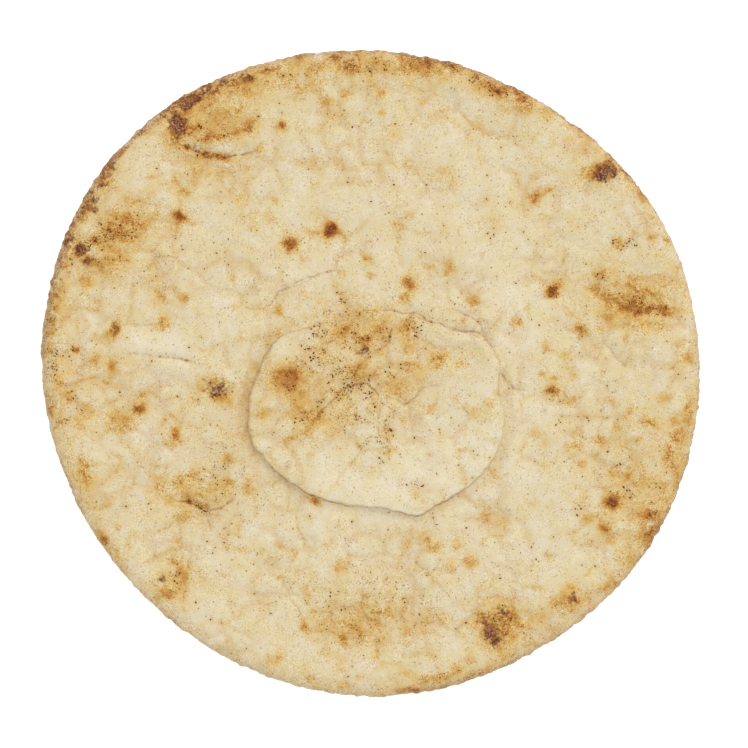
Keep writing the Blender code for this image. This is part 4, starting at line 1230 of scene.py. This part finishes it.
def browning_group(settings):
    """Colour of dough that is baked by a mark from 0 to 1, broken up the way dry dough scorches."""
    group, given = new_group(
        "Browning",
        {"Baked": 0.0, "Burnt": 0.0, "Floured": 0.0, "Paler": 0.0, "Unevenness": 1.0, "Granular": 0.0},
        ("Color", "Baked", "Burnt", "Lively"),
    )
    place, baked = given["Place"], given["Baked"]
    half_baked = maths(group, 'MULTIPLY', baked, maths(group, 'SUBTRACT', HALF_BAKED, baked))

    def swing(kind, on_raw, wider):
        """Noise about 0 that swings wider on half-baked crust than on raw or dark crust."""
        width = maths(group, 'MULTIPLY_ADD', half_baked, wider, on_raw)
        return maths(group, 'MULTIPLY', noise_swing(group, place, kind), width)

    def broken(value, low_mark, value_range):
        """A value that shows only where its mark is high enough."""
        shown_value = remap(group, value, *value_range, smooth_ends=True)
        return maths(group, 'MULTIPLY', shown_value, remap(group, *low_mark))

    finest = maths(group, 'ADD', *(swing(*kind) for kind in FINE_SWINGS))
    lively = remap(group, noise_value(group, place, LIVELY), *LIVELY_RANGE)
    uneven = maths(group, 'MULTIPLY', finest, maths(group, 'ADD', lively, given["Granular"]))
    for kind in BROAD_SWINGS:
        uneven = maths(group, 'ADD', uneven, swing(*kind))
    unbaked = maths(group, 'MULTIPLY_ADD', given["Paler"], -RAW_SHADE, RAW_SHADE)
    shown = maths(group, 'MULTIPLY_ADD', baked, BAKED_SHADE, unbaked)
    shown = maths(group, 'MULTIPLY_ADD', uneven, given["Unevenness"], shown, clamp=True)
    colour = ramp_colour(group, shown, [(position, getattr(settings, tint)) for position, tint in SHADES])
    yellow = remap(group, noise_value(group, place, YELLOW), *YELLOW_RANGE)
    colour = mix_colour(group, yellow, colour, settings.butter, blend='MULTIPLY')

    crumbs = noise_swing(group, place, CRUMBS)
    burnt = given["Burnt"]
    for breakup in (crumbs, noise_swing(group, place, CLOTS)):
        burnt = maths(group, 'MULTIPLY_ADD', breakup, BURNT_BREAKUP, burnt)
    burnt = broken(burnt, (given["Burnt"], *BURNT_MARKED), BURNT_RANGE)
    embers = remap(group, noise_value(group, place, EMBERS), *EMBERS_RANGE)
    scorched = mix_colour(group, embers, settings.burnt, settings.dark)
    ash = remap(group, noise_value(group, place, ASH), *ASH_RANGE)
    ash = maths(group, 'MULTIPLY', ash, remap(group, given["Burnt"], *ASH_MARKED))
    scorched = mix_colour(group, ash, scorched, settings.ash)
    colour = mix_colour(group, burnt, colour, scorched)

    dust = maths(group, 'MULTIPLY_ADD', crumbs, DUST_BREAKUP, given["Floured"])
    dust = broken(dust, (given["Floured"], *DUST_MARKED), DUST_RANGE)
    colour = mix_colour(group, dust, colour, settings.flour)
    return give_out(group, {"Color": colour, "Baked": shown, "Burnt": burnt, "Lively": lively})


def speck_group():
    """Tiny scorched dots, of random size and strength, as many as the density says."""
    group, given = new_group("Scorched dots", {"Spacing": 1.0, "Size": 0.3, "Density": 0.1}, ("Mask",))
    cell = cells(group, given["Place"], maths(group, 'DIVIDE', 1.0, given["Spacing"]))
    draw = add_node(group, "ShaderNodeSeparateColor", {"Color": cell["Color"]}).outputs
    there = maths(group, 'LESS_THAN', draw[0], given["Density"])
    size = maths(group, 'MULTIPLY', given["Size"], remap(group, draw[1], *DOT_SIZES))
    size = maths(group, 'DIVIDE', size, given["Spacing"])
    near = maths(group, 'DIVIDE', cell["Distance"], size)
    dot = remap(group, near, *DOT_EDGE, smooth_ends=True)
    strength = maths(group, 'MULTIPLY', dot, remap(group, draw[2], *DOT_STRENGTHS))
    return give_out(group, {"Mask": maths(group, 'MULTIPLY', strength, there)})


def pepper_group():
    """Uneven brown grains from the peaks of a fine noise, thicker where the density is higher."""
    group, given = new_group("Brown pepper", {"Size": 0.5, "Density": 0.0}, ("Mask",))
    scale = maths(group, 'DIVIDE', 1.0, given["Size"])
    inputs = {"Vector": given["Place"], "Scale": scale, "Detail": PEPPER_DETAIL, "Roughness": PEPPER_ROUGH}
    level = add_node(group, "ShaderNodeTexNoise", inputs).outputs["Fac"]
    gathered = noise_swing(group, given["Place"], PEPPER_PATCHES)
    level = maths(group, 'MULTIPLY_ADD', gathered, PEPPER_GATHERED, level)
    level = maths(group, 'MULTIPLY_ADD', given["Density"], PEPPER_DENSITY, level)
    return give_out(group, {"Mask": remap(group, level, *PEPPER_RANGE)})


# ---------------------------------------------------------------- materials

# Painted shade: the dark lines at the bottom of folds, partly their own brown, and under the blister's lip,
# and the shade in its groove
TORN = Noise(1.1, 2.0, 0.5)  # tears the dark lines, by up to these distances
TORN_CREASE, TORN_LIP, TORN_GROOVE = 0.9, 0.6, 0.5
CREASE_FADE = (0.0, 0.65, 1.0, 0.0)  # the line fades out between these distances from the fold's bottom
# the shadow line under the lip is painted
LIP_OFFSET = 0.1  # the line under the lip lies this far outside the blister's edge
LIP_FADE = (0.05, 0.5, 1.0, 0.0)
# the groove's painted shade fades in as its mark rises over these
GROOVE_MARKED = (0.0, 0.15)
BROKEN = Noise(1.8, 3.0, 0.6)  # the dark lines come and go
BROKEN_RANGE = (0.38, 0.6, 0.35, 1.15)
# Painted shade along the hollows between the pads, and a painted line at their bottom
HOLLOW_SHADE_TORN = Noise(1.6, 3.0, 0.5)
HOLLOW_SHADE_WANDER = 1.2
HOLLOW_SHADE_SOFT = (0.1, 1.7, 0.45, 0.0)  # soft shade beside a hollow's bottom, and the line along it
HOLLOW_SHADE_LINE = (0.05, 0.4, 1.0, 0.0)
HOLLOW_SHADE_PRESENT = Noise(5.0, 2.0, 0.5)
HOLLOW_SHADE_RANGE = (0.45, 0.62)
HOLLOW_SHADE_STRENGTH = 0.95
RIND_BAKED = (0.1, 0.6)  # the dry skin darkens over these marks
RIND_SHARE = 0.5
DOTS_GATHERED = Noise(11.0, 2.0, 0.5)
GATHERED_RANGE = (0.38, 0.62, 0.3, 1.7)
# Dots: their spacing and size in millimetres, how many there are on bare crust, how many more where it is
# specked and where it is baked, their colour and how strong it is
Dots = namedtuple("Dots", "spacing size bare specked baked tint strength")
DOTS = (
    Dots(2.1, 0.62, 0.2, 0.1, 0.3, "golden", 0.5), Dots(0.95, 0.36, 0.2, 0.15, 0.4, "toasted", 0.7),
    Dots(1.1, 0.36, 0.09, 0.2, 0.16, "dark", 0.85),
)
SIDE_DOTS = 0.8  # how many more there are on the baked side
PEPPER_SIZE = 0.55
PEPPER_SIDE, PEPPER_SPECKED = 0.3, 0.5  # how much thicker pepper is on the side and on specked crust
PEPPER_STRENGTH = 0.85
STAIN_STRENGTH = 0.45
TONE_RAW, TONE_BAKED = 0.18, 2.6  # how far the grain lightens and darkens raw crust, and what baking adds
BAKED_GLOSS = -0.22  # what baking adds to the roughness
BURNT_HEIGHT, HOLLOW_HEIGHT, BAKED_HEIGHT = -0.12, -0.06, 0.1  # what each adds to the bump, in millimetres
BASE_UNEVENNESS = 1.2  # the underside, as shares of the settings of the top
BASE_LUMPS, BASE_GRAIN = 1.6, 1.5
BASE_DOTS = {"Spacing": 1.4, "Size": 0.4, "Density": 0.16}
BASE_DOT_STRENGTH = 0.7
BASE_GLOSS = -0.15
FLECK_TONE = Noise(0.3, 2.0, 0.5)  # mottles each grain, by this much about its own tone
FLECK_MOTTLED = 0.8
FLECK_LUMPS, FLECK_GRAIN = 0.05, 0.04
FLECK_ROUGHNESS = (0.95, -0.2)  # of a black grain, and what the palest one adds


def new_material(name):
    """A material with its node tree and its Principled shader."""
    material = bpy.data.materials.new(name)
    material.use_nodes = True
    tree = material.node_tree
    return material, tree, tree.nodes["Principled BSDF"]


def finish_surface(tree, shader, colour, rough, height, gloss):
    """Links colour, roughness and bump, and sets what is even all over the surface."""
    tree.links.new(colour, shader.inputs["Base Color"])
    tree.links.new(rough, shader.inputs["Roughness"])
    bump_node = add_node(tree, "ShaderNodeBump", {"Height": height, "Distance": MM, "Strength": 1.0})
    tree.links.new(bump_node.outputs["Normal"], shader.inputs["Normal"])
    shader.inputs["Specular IOR Level"].default_value = gloss
    shader.inputs["Metallic"].default_value = 0.0


def browned(tree, settings, place, marks, **inputs):
    """The browning that the marks give, with further inputs."""
    inputs.update({name: mark(tree, name.lower()) for name in marks})
    return place_group(tree, shared_group("Browning", browning_group, settings), {"Place": place, **inputs})


def dough_grain(tree, place, lumps, grain):
    """The grain of the dough, with its lumps and grain of these heights in millimetres."""
    return place_group(
        tree, shared_group("Dough grain", grain_group), {"Place": place, "Lumps": lumps, "Grain": grain}
    )


def paint_crease_and_groove_shade(tree, colour, settings):
    """Paints shade into the colour: the line at the bottom of each fold, partly its own brown, the shadow
    line under the blister's lip, and the shade in its groove.
    """
    place = place_in_mm(tree)
    torn = noise_swing(tree, place, TORN)

    def painted_shade_line(off_line, tear, fade, strength):
        """A torn line of painted shade along where a distance is 0, as strong as its mark says."""
        off_line = maths(tree, 'MULTIPLY_ADD', torn, tear, maths(tree, 'ABSOLUTE', off_line))
        return maths(tree, 'MULTIPLY', remap(tree, off_line, *fade, smooth_ends=True), mark(tree, strength))

    line = painted_shade_line(mark(tree, "crease"), TORN_CREASE, CREASE_FADE, "crease_darkness")
    under_lip = maths(tree, 'ADD', mark(tree, "edge"), LIP_OFFSET)
    lip_shadow = painted_shade_line(under_lip, TORN_LIP, LIP_FADE, "edge_darkness")
    broken = remap(tree, noise_value(tree, place, BROKEN), *BROKEN_RANGE)
    # painted shade in the groove round the blister
    shaded = mark(tree, "shaded")
    painted_shade = maths(tree, 'MULTIPLY_ADD', torn, TORN_GROOVE, shaded)
    painted_shade = maths(tree, 'MULTIPLY', painted_shade, remap(tree, shaded, *GROOVE_MARKED), clamp=True)
    colour = mix_colour(tree, painted_shade, colour, settings.painted_shade, blend='MULTIPLY')
    line_shade = maths(tree, 'MULTIPLY', maths(tree, 'MAXIMUM', line, lip_shadow), broken, clamp=True)
    return mix_colour(tree, line_shade, colour, settings.crease, blend='MULTIPLY')


def painted_hollow_shade(tree, place):
    """Painted shade: tan shade along the hollows of raw crust, with a thin line at the bottom that breaks off
    in places.
    """
    torn = noise_value(tree, place, HOLLOW_SHADE_TORN)
    torn = maths(tree, 'MULTIPLY_ADD', torn, HOLLOW_SHADE_WANDER, -0.5 * HOLLOW_SHADE_WANDER)
    off_middle = maths(tree, 'ADD', mark(tree, "hollow"), torn)
    soft = remap(tree, off_middle, *HOLLOW_SHADE_SOFT, smooth_ends=True)
    line = remap(tree, off_middle, *HOLLOW_SHADE_LINE, smooth_ends=True)
    there = remap(tree, noise_value(tree, place, HOLLOW_SHADE_PRESENT), *HOLLOW_SHADE_RANGE, smooth_ends=True)
    deepest = maths(tree, 'MAXIMUM', soft, maths(tree, 'MULTIPLY', line, there))
    return maths(tree, 'MULTIPLY', deepest, mark(tree, "hollow_darkness"))


def scorched_dots(tree, colour, place, side, specked, baked, settings):
    """Freckles, tan dots and dark dots, thicker where the crust is specked and baked."""
    gathered = remap(tree, noise_value(tree, place, DOTS_GATHERED), *GATHERED_RANGE)
    on_side = maths(tree, 'MULTIPLY', side, baked)
    group = shared_group("Scorched dots", speck_group)
    for dots in DOTS:
        density = maths(tree, 'MULTIPLY', gathered, dots.bare)
        for where, more in ((specked, dots.specked), (baked, dots.baked), (on_side, SIDE_DOTS)):
            density = maths(tree, 'MULTIPLY_ADD', where, more, density)
        inputs = {"Place": place, "Spacing": dots.spacing, "Size": dots.size, "Density": density}
        dot = maths(tree, 'MULTIPLY', place_group(tree, group, inputs)["Mask"], dots.strength)
        colour = mix_colour(tree, dot, colour, getattr(settings, dots.tint))
    return colour


def crust_material(settings):
    """Top and rim: pale dough, baked in spots, with scorched dots, and painted shade along its creases,
    hollows and groove.
    """
    material, tree, shader = new_material("baked_crust")
    place = place_in_mm(tree)
    side, specked, baked = mark(tree, "side"), mark(tree, "specked"), mark(tree, "baked")
    browning = browned(
        tree, settings, place, ("Baked", "Burnt", "Floured", "Paler"), Unevenness=settings.unevenness,
        Granular=maths(tree, 'MULTIPLY', side, settings.side_unevenness),
    )
    rind = mix_colour(tree, remap(tree, baked, *RIND_BAKED), settings.rind, settings.dark_rind)
    rind_share = maths(tree, 'MULTIPLY_ADD', mark(tree, "burnt"), -RIND_SHARE, RIND_SHARE)
    colour = mix_colour(tree, maths(tree, 'MULTIPLY', side, rind_share), browning["Color"], rind)
    colour = scorched_dots(tree, colour, place, side, specked, baked, settings)
    density = maths(tree, 'MULTIPLY_ADD', specked, PEPPER_SPECKED, baked)
    density = maths(tree, 'MULTIPLY_ADD', side, PEPPER_SIDE, density)
    pepper = place_group(
        tree, shared_group("Brown pepper", pepper_group),
        {"Place": place, "Size": PEPPER_SIZE, "Density": density},
    )["Mask"]
    colour = mix_colour(tree, maths(tree, 'MULTIPLY', pepper, PEPPER_STRENGTH), colour, settings.brown)
    hollow_shade = painted_hollow_shade(tree, place)
    # the stains round the scorched grains, then the painted shade in the hollows
    for stain_and_shade, strength, tint in (
        (mark(tree, "stained"), STAIN_STRENGTH, settings.stain), (hollow_shade, HOLLOW_SHADE_STRENGTH, settings.painted_shade),
    ):
        colour = mix_colour(tree, maths(tree, 'MULTIPLY', stain_and_shade, strength), colour, tint, blend='MULTIPLY')
    colour = paint_crease_and_groove_shade(tree, colour, settings)
    grain = dough_grain(tree, place, settings.lump_height / MM, settings.grain_height / MM)
    tone = maths(tree, 'MULTIPLY', grain["Tone"], browning["Lively"])
    tone_width = maths(tree, 'MULTIPLY_ADD', browning["Baked"], TONE_BAKED, TONE_RAW)
    tone = maths(tree, 'ADD', maths(tree, 'MULTIPLY', tone, tone_width), 1.0)
    colour = mix_colour(tree, 1.0, colour, tone, blend='MULTIPLY')
    rough = maths(tree, 'MULTIPLY_ADD', browning["Baked"], BAKED_GLOSS, settings.roughness)
    height = grain["Height"]
    for part, more in (
        (browning["Burnt"], BURNT_HEIGHT), (hollow_shade, HOLLOW_HEIGHT), (browning["Baked"], BAKED_HEIGHT),
    ):
        height = maths(tree, 'MULTIPLY_ADD', part, more, height)
    finish_surface(tree, shader, colour, rough, height, settings.gloss)
    return material


def base_material(settings):
    """Underside: drier and flatter than the top, with broad brown patches and flour."""
    material, tree, shader = new_material("baked_base")
    place = place_in_mm(tree)
    browning = browned(
        tree, settings, place, ("Baked", "Burnt", "Floured"), Unevenness=BASE_UNEVENNESS * settings.unevenness
    )
    dots = place_group(tree, shared_group("Scorched dots", speck_group), {"Place": place, **BASE_DOTS})
    dots = maths(tree, 'MULTIPLY', dots["Mask"], BASE_DOT_STRENGTH)
    colour = mix_colour(tree, dots, browning["Color"], settings.dark)
    lumps, grain = BASE_LUMPS * settings.lump_height / MM, BASE_GRAIN * settings.grain_height / MM
    height = dough_grain(tree, place, lumps, grain)["Height"]
    rough = maths(tree, 'MULTIPLY_ADD', browning["Baked"], BASE_GLOSS, settings.roughness)
    finish_surface(tree, shader, colour, rough, height, settings.gloss)
    return material


def fleck_material(settings):
    """Scorched flour: near black to brown, each grain in its own tone."""
    material, tree, shader = new_material("scorched_flour")
    place = place_in_mm(tree)
    mottled = noise_swing(tree, place, FLECK_TONE)
    tone = maths(tree, 'MULTIPLY_ADD', mottled, FLECK_MOTTLED, mark(tree, "tone"), clamp=True)
    colour = mix_colour(tree, tone, settings.burnt, settings.brown)
    rough = maths(tree, 'MULTIPLY_ADD', tone, FLECK_ROUGHNESS[1], FLECK_ROUGHNESS[0])
    height = dough_grain(tree, place, FLECK_LUMPS, FLECK_GRAIN)["Height"]
    finish_surface(tree, shader, colour, rough, height, settings.grain_gloss)
    return material


# ---------------------------------------------------------------- scorched flour

FLECK_SMALL = 0.3  # the smallest grains are this share of the largest
FLECK_RARITY = 1.7  # above 1, most grains are nearer the smallest
FLECK_PALE = (0.1, 1.4)  # the darkest tone, and the palest of a grain of size 0
FLECK_REACH = 0.96  # loose grains stay inside this share of the outline
FLECK_PATCH = (13.0, 71.0)  # size and layer of the noise by which loose grains come thicker and thinner
FLECK_EVEN = 0.4  # the higher, the more evenly they lie
PATCH_SPREAD = 0.3  # how far a patch's grains scatter, as a share of its length and width
CLUSTER_SIZES = (1, 6)  # from the first up to, but without, the second
CLUSTER_SPREAD = 0.6
FLECK_UNEVEN = 0.28  # how far a grain's corners are pushed in and out, as a share
FLECK_WIDTH = (0.35, 0.9)  # width and height as shares of the length
FLECK_HEIGHT = (0.25, 0.4)
FLECK_TURN = 6.28  # grains are turned by up to this, about a full turn
DROP_HEIGHT = 50.0  # grains are dropped on the crust from here


def grain_draw(rng):
    """Size and tone of one grain: most are small and brown, and the few large ones are darker."""
    size = FLECK_SMALL + (1.0 - FLECK_SMALL) * rng.uniform() ** FLECK_RARITY
    return size, rng.uniform(FLECK_PALE[0], FLECK_PALE[1] - size)


def fleck_places(settings):
    """Where the scorched grains lie, as (x, y, size, tone): clustered in the patches, and loose elsewhere."""
    rng = np.random.default_rng(settings.seed + 7)
    share = settings.flecks / (LOOSE_SPECKS + sum(patch[5] for patch in SPECK_PATCHES))
    places = []
    for middle_x, middle_y, length, width, turn, count in SPECK_PATCHES:
        east, north = math.cos(math.radians(turn)), math.sin(math.radians(turn))
        left = round(count * share)
        while left > 0:
            along, across = (rng.normal(0.0, PATCH_SPREAD * side) for side in (length, width))
            x, y = middle_x + along * east - across * north, middle_y + along * north + across * east
            cluster = min(int(rng.integers(*CLUSTER_SIZES)), left)
            left -= cluster
            for _ in range(cluster):
                grain_x, grain_y = (value + rng.normal(0.0, CLUSTER_SPREAD) for value in (x, y))
                places.append((grain_x, grain_y, *grain_draw(rng)))
    for _ in range(round(LOOSE_SPECKS * share)):
        bearing = rng.uniform(0.0, 360.0)
        distance = FLECK_REACH * float(outline_radius(bearing)) * math.sqrt(rng.uniform())
        x, y = distance * math.cos(math.radians(bearing)), distance * math.sin(math.radians(bearing))
        patch_size, layer = FLECK_PATCH
        if noise.noise((x / patch_size, y / patch_size, layer)) > rng.uniform(-FLECK_EVEN, FLECK_EVEN):
            places.append((x, y, *grain_draw(rng)))
    return places


def fleck_piece(settings, crust):
    """All the scorched grains as one mesh: small, flat, uneven lumps that sit on the crust."""
    bm = bmesh.new()
    bmesh.ops.create_icosphere(bm, subdivisions=1, radius=0.5)
    lump = np.array([vert.co for vert in bm.verts])
    lump_faces = np.array([[vert.index for vert in face.verts] for face in bm.faces])
    bm.free()
    rng = np.random.default_rng(settings.seed + 8)
    points, faces, tones = [], [], []
    for x, y, size, tone in fleck_places(settings):
        hit, place, normal, _ = crust.ray_cast(Vector((x, y, DROP_HEIGHT)) * MM, Vector((0.0, 0.0, -1.0)))
        if not hit:
            continue
        grain = lump * (1.0 + rng.uniform(-FLECK_UNEVEN, FLECK_UNEVEN, lump.shape))
        grain = grain * (1.0, rng.uniform(*FLECK_WIDTH), rng.uniform(*FLECK_HEIGHT))
        grain = grain * size * settings.fleck_size
        turn = Matrix.Rotation(rng.uniform(0.0, FLECK_TURN), 3, 'Z')
        turn = normal.to_track_quat('Z', 'Y').to_matrix() @ turn
        grain = grain @ np.array(turn).T + np.array(place)
        faces.append(lump_faces + sum(len(group) for group in points))
        points.append(grain)
        tones.append(np.full(len(lump), tone))
    mesh = bpy.data.meshes.new("scorched_flour")
    mesh.from_pydata(np.concatenate(points).tolist(), [], np.concatenate(faces).tolist())
    mesh.shade_smooth()
    set_marks(mesh, {"tone": np.concatenate(tones)})
    mesh.materials.append(fleck_material(settings))
    return add_object("scorched_flour", mesh)


# ---------------------------------------------------------------- stage

FLOOR_TONE = Noise(60.0, 2.0, 0.5)  # the floor is a trace darker in places
FLOOR_RANGE = (0.3, 0.7, 0.99, 1.0)
FLOOR_ROUGHNESS = 0.9
FLOOR_GLOSS = 0.1
NEAR_CLIP = 0.01


def floor_piece(settings):
    """A wide pale floor just under the bread."""
    half = 0.5 * settings.floor_size
    mesh = bpy.data.meshes.new("floor")
    level = CAD_BOX[0].z - settings.floor_gap
    corners = [(-half, -half, level), (half, -half, level), (half, half, level), (-half, half, level)]
    mesh.from_pydata(corners, [], [(0, 1, 2, 3)])
    material, tree, shader = new_material("floor")
    tone = remap(tree, noise_value(tree, place_in_mm(tree), FLOOR_TONE), *FLOOR_RANGE)
    colour = mix_colour(tree, 1.0, settings.floor_colour, tone, blend='MULTIPLY')
    tree.links.new(colour, shader.inputs["Base Color"])
    shader.inputs["Roughness"].default_value = FLOOR_ROUGHNESS
    shader.inputs["Specular IOR Level"].default_value = FLOOR_GLOSS
    shader.inputs["Emission Color"].default_value = (1.0, 1.0, 1.0, 1.0)
    shader.inputs["Emission Strength"].default_value = settings.floor_glow
    mesh.materials.append(material)
    return add_object("floor", mesh)


def area_light(name, place, size, power):
    """A square soft light that looks at the bread's middle."""
    light = bpy.data.lights.new(name, 'AREA')
    light.size = size
    light.energy = power
    lamp = add_object(name, light)
    lamp.location = place
    lamp.rotation_euler = (-Vector(place)).to_track_quat('-Z', 'Y').to_euler()


def soft_sky(settings):
    """Even light from all round."""
    world = bpy.data.worlds.new("studio")
    bpy.context.scene.world = world
    world.use_nodes = True
    background = world.node_tree.nodes["Background"]
    background.inputs["Color"].default_value = (*settings.sky_colour, 1.0)
    background.inputs["Strength"].default_value = settings.sky


def top_camera(settings):
    """Straight down over the bread, with its top edge away from the viewer."""
    data = bpy.data.cameras.new("camera")
    data.lens = settings.lens
    data.clip_start = NEAR_CLIP
    middle = 0.5 * (CAD_BOX[0] + CAD_BOX[1])
    distance = settings.view_width * settings.lens / data.sensor_width
    camera = add_object("camera", data)
    camera.location = middle + Vector((*settings.view_offset, distance))
    bpy.context.scene.camera = camera


# ---------------------------------------------------------------- settings

def a_colour(name, description, default):
    """A colour that the user can change."""
    return FloatVectorProperty(
        name=name, description=description, default=default, size=3, min=0.0, max=1.0, subtype='COLOR'
    )


def a_number(name, description, default, **kind):
    """A measure, share or strength that the user can change, with its unit or subtype."""
    return FloatProperty(name=name, description=description, default=default, **kind)


def a_place(name, description, default):
    """A place in the scene that the user can change."""
    return FloatVectorProperty(
        name=name, description=description, default=default, size=len(default), subtype='TRANSLATION'
    )


LENGTH = {"unit": 'LENGTH', "precision": 5}
POWER = {"unit": 'POWER'}
SHARE = {"subtype": 'FACTOR'}


class CrustSettings(bpy.types.PropertyGroup):
    """Sizes and colours of the baked crust and the scorched flour on it."""

    seed: IntProperty(name="Seed", description="Another number strews the small marks another way", default=3)
    relief: a_number("Fine relief", "Share of the small wrinkles and lumps", 1.0, **SHARE)
    creases: IntProperty(
        name="Loose creases", description="How many small wrinkles are strewn", default=LOOSE_CREASES
    )
    lump_height: a_number("Lump height", "Height of the soft lumps of the dough", 0.00016, **LENGTH)
    grain_height: a_number("Grain height", "Height of the floury grain", 0.00005, **LENGTH)
    unevenness: a_number("Unevenness", "How much the browning is broken up", 1.0, **SHARE)
    side_unevenness: a_number("Side unevenness", "How much more granular the rim's side is", 1.6, **SHARE)
    roughness: a_number("Roughness", "Roughness of raw crust", 0.9, **SHARE)
    gloss: a_number("Gloss", "Specular level of the crust", 0.1, **SHARE)
    grain_gloss: a_number("Grain gloss", "Specular level of the scorched grains", 0.02, **SHARE)
    flecks: IntProperty(name="Flecks", description="How many scorched grains lie on the crust", default=2000)
    fleck_size: a_number("Fleck size", "Length of a large scorched grain", 0.0008, **LENGTH)
    pale: a_colour("Pale", "Raw, floury crust", (0.704, 0.651, 0.52))
    cream: a_colour("Cream", "Crust that has only set", (0.663, 0.588, 0.438))
    dough: a_colour("Dough", "Most of the crust", (0.62, 0.528, 0.356))
    straw: a_colour("Straw", "First colour that baking gives", (0.608, 0.462, 0.234))
    golden: a_colour("Golden", "Lightly baked crust", (0.566, 0.377, 0.134))
    toasted: a_colour("Toasted", "Crust baked golden brown", (0.476, 0.247, 0.072))
    brown: a_colour("Brown", "Crust baked brown", (0.32, 0.125, 0.031))
    dark: a_colour("Dark", "Crust baked dark brown", (0.168, 0.047, 0.01))
    burnt: a_colour("Burnt", "Burnt crust", (0.062, 0.018, 0.007))
    ash: a_colour("Ash", "Ashy flakes on burnt crust", (0.47, 0.318, 0.245))
    flour: a_colour("Flour", "Dry flour on the crust", (0.65, 0.59, 0.45))
    butter: a_colour("Butter", "Tint of the yellower patches of the crust", (1.0, 0.972, 0.815))
    rind: a_colour("Rind", "Dry skin on the side of the rim", (0.46, 0.37, 0.275))
    dark_rind: a_colour("Dark rind", "The same skin where it is baked brown", (0.15, 0.09, 0.055))
    # Painted shade: tint of the shade painted in the hollows and in the groove round the blister
    painted_shade: a_colour("Groove", "Tint of hollows and of the groove round the blister", (0.82, 0.6, 0.32))
    stain: a_colour("Stain", "Tint round the scorched grains", (0.8, 0.66, 0.4))
    # Painted shade: tint of the lines at the bottom of folds, partly their own brown, and of the shadow under
    # the blister's lip
    crease: a_colour("Crease", "Tint of the line at the bottom of a fold", (0.5, 0.28, 0.13))


class StageSettings(bpy.types.PropertyGroup):
    """Floor, light and camera."""

    floor_size: a_number("Floor", "Width of the floor", 6.0, **LENGTH)
    floor_gap: a_number("Gap", "Distance from the bread down to the floor", 0.0001, **LENGTH)
    floor_colour: a_colour("Floor colour", "Colour of the floor", (0.98, 0.98, 0.98))
    floor_glow: a_number("Floor glow", "Light from the floor itself, as from a light table", 0.3)
    sky: a_number("Sky", "Strength of the even light all round", 0.9)
    sky_colour: a_colour("Sky colour", "Colour of the even light", (1.0, 1.0, 1.0))
    key: a_number("Key light", "Power of the main soft light", 61.6, **POWER)
    fill: a_number("Fill light", "Power of the second soft light", 15.0, **POWER)
    light_size: a_number("Light size", "Width of the soft lights", 2.5, **LENGTH)
    key_place: a_place("Key place", "Where the main light hangs", (1.9, 2.1, 2.5))
    fill_place: a_place("Fill place", "Where the second light hangs", (-2.2, -1.3, 2.7))
    lens: a_number("Lens", "Focal length in millimetres", 100.0)
    view_width: a_number("View width", "Width of the view at the bread", 0.226, **LENGTH)
    view_offset: a_place("View offset", "How far the camera is off the bread's middle", (0.00106, -0.00015))


# ---------------------------------------------------------------- operators and panel

class PITA_OT_make_crust(bpy.types.Operator):
    """Make the baked crust in the place of the solid bread"""

    bl_idname = "pita.make_crust"
    bl_label = "Baked crust"

    def execute(self, context):
        crust = crust_piece(context.scene.pita_crust)
        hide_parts(SOLID)
        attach(crust, "root")
        return {'FINISHED'}


class PITA_OT_strew_flour(bpy.types.Operator):
    """Strew scorched grains of flour over the crust"""

    bl_idname = "pita.strew_flour"
    bl_label = "Scorched flour"

    def execute(self, context):
        flecks = fleck_piece(context.scene.pita_crust, bpy.data.objects["baked_crust"])
        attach(flecks, "root")
        return {'FINISHED'}


class PITA_OT_set_stage(bpy.types.Operator):
    """Lay the floor, hang the lights and place the camera"""

    bl_idname = "pita.set_stage"
    bl_label = "Stage"

    def execute(self, context):
        settings = context.scene.pita_stage
        floor_piece(settings)
        area_light("key", tuple(settings.key_place), settings.light_size, settings.key)
        area_light("fill", tuple(settings.fill_place), settings.light_size, settings.fill)
        soft_sky(settings)
        top_camera(settings)
        context.scene.view_settings.view_transform = 'Standard'
        return {'FINISHED'}


class PITA_PT_sidebar(bpy.types.Panel):
    """Lists the steps that dress the bread, with their sizes and colours"""

    bl_label = "Pita bread"
    bl_idname = "PITA_PT_sidebar"
    bl_space_type = 'VIEW_3D'
    bl_region_type = 'UI'
    bl_category = "Pita"

    def draw(self, context):
        for step in STEPS:
            self.layout.operator(step.bl_idname)
        for settings in (context.scene.pita_crust, context.scene.pita_stage):
            column = self.layout.column()
            for name in type(settings).__annotations__:
                column.prop(settings, name)


STEPS = (PITA_OT_make_crust, PITA_OT_strew_flour, PITA_OT_set_stage)
CLASSES = (CrustSettings, StageSettings, *STEPS, PITA_PT_sidebar)


def register():
    for item in CLASSES:
        bpy.utils.register_class(item)
    bpy.types.Scene.pita_crust = PointerProperty(type=CrustSettings)
    bpy.types.Scene.pita_stage = PointerProperty(type=StageSettings)


def unregister():
    del bpy.types.Scene.pita_stage
    del bpy.types.Scene.pita_crust
    for item in reversed(CLASSES):
        bpy.utils.unregister_class(item)


def main():
    register()
    bpy.ops.pita.make_crust()
    bpy.ops.pita.strew_flour()
    bpy.ops.pita.set_stage()


if __name__ == "__main__":
    main()
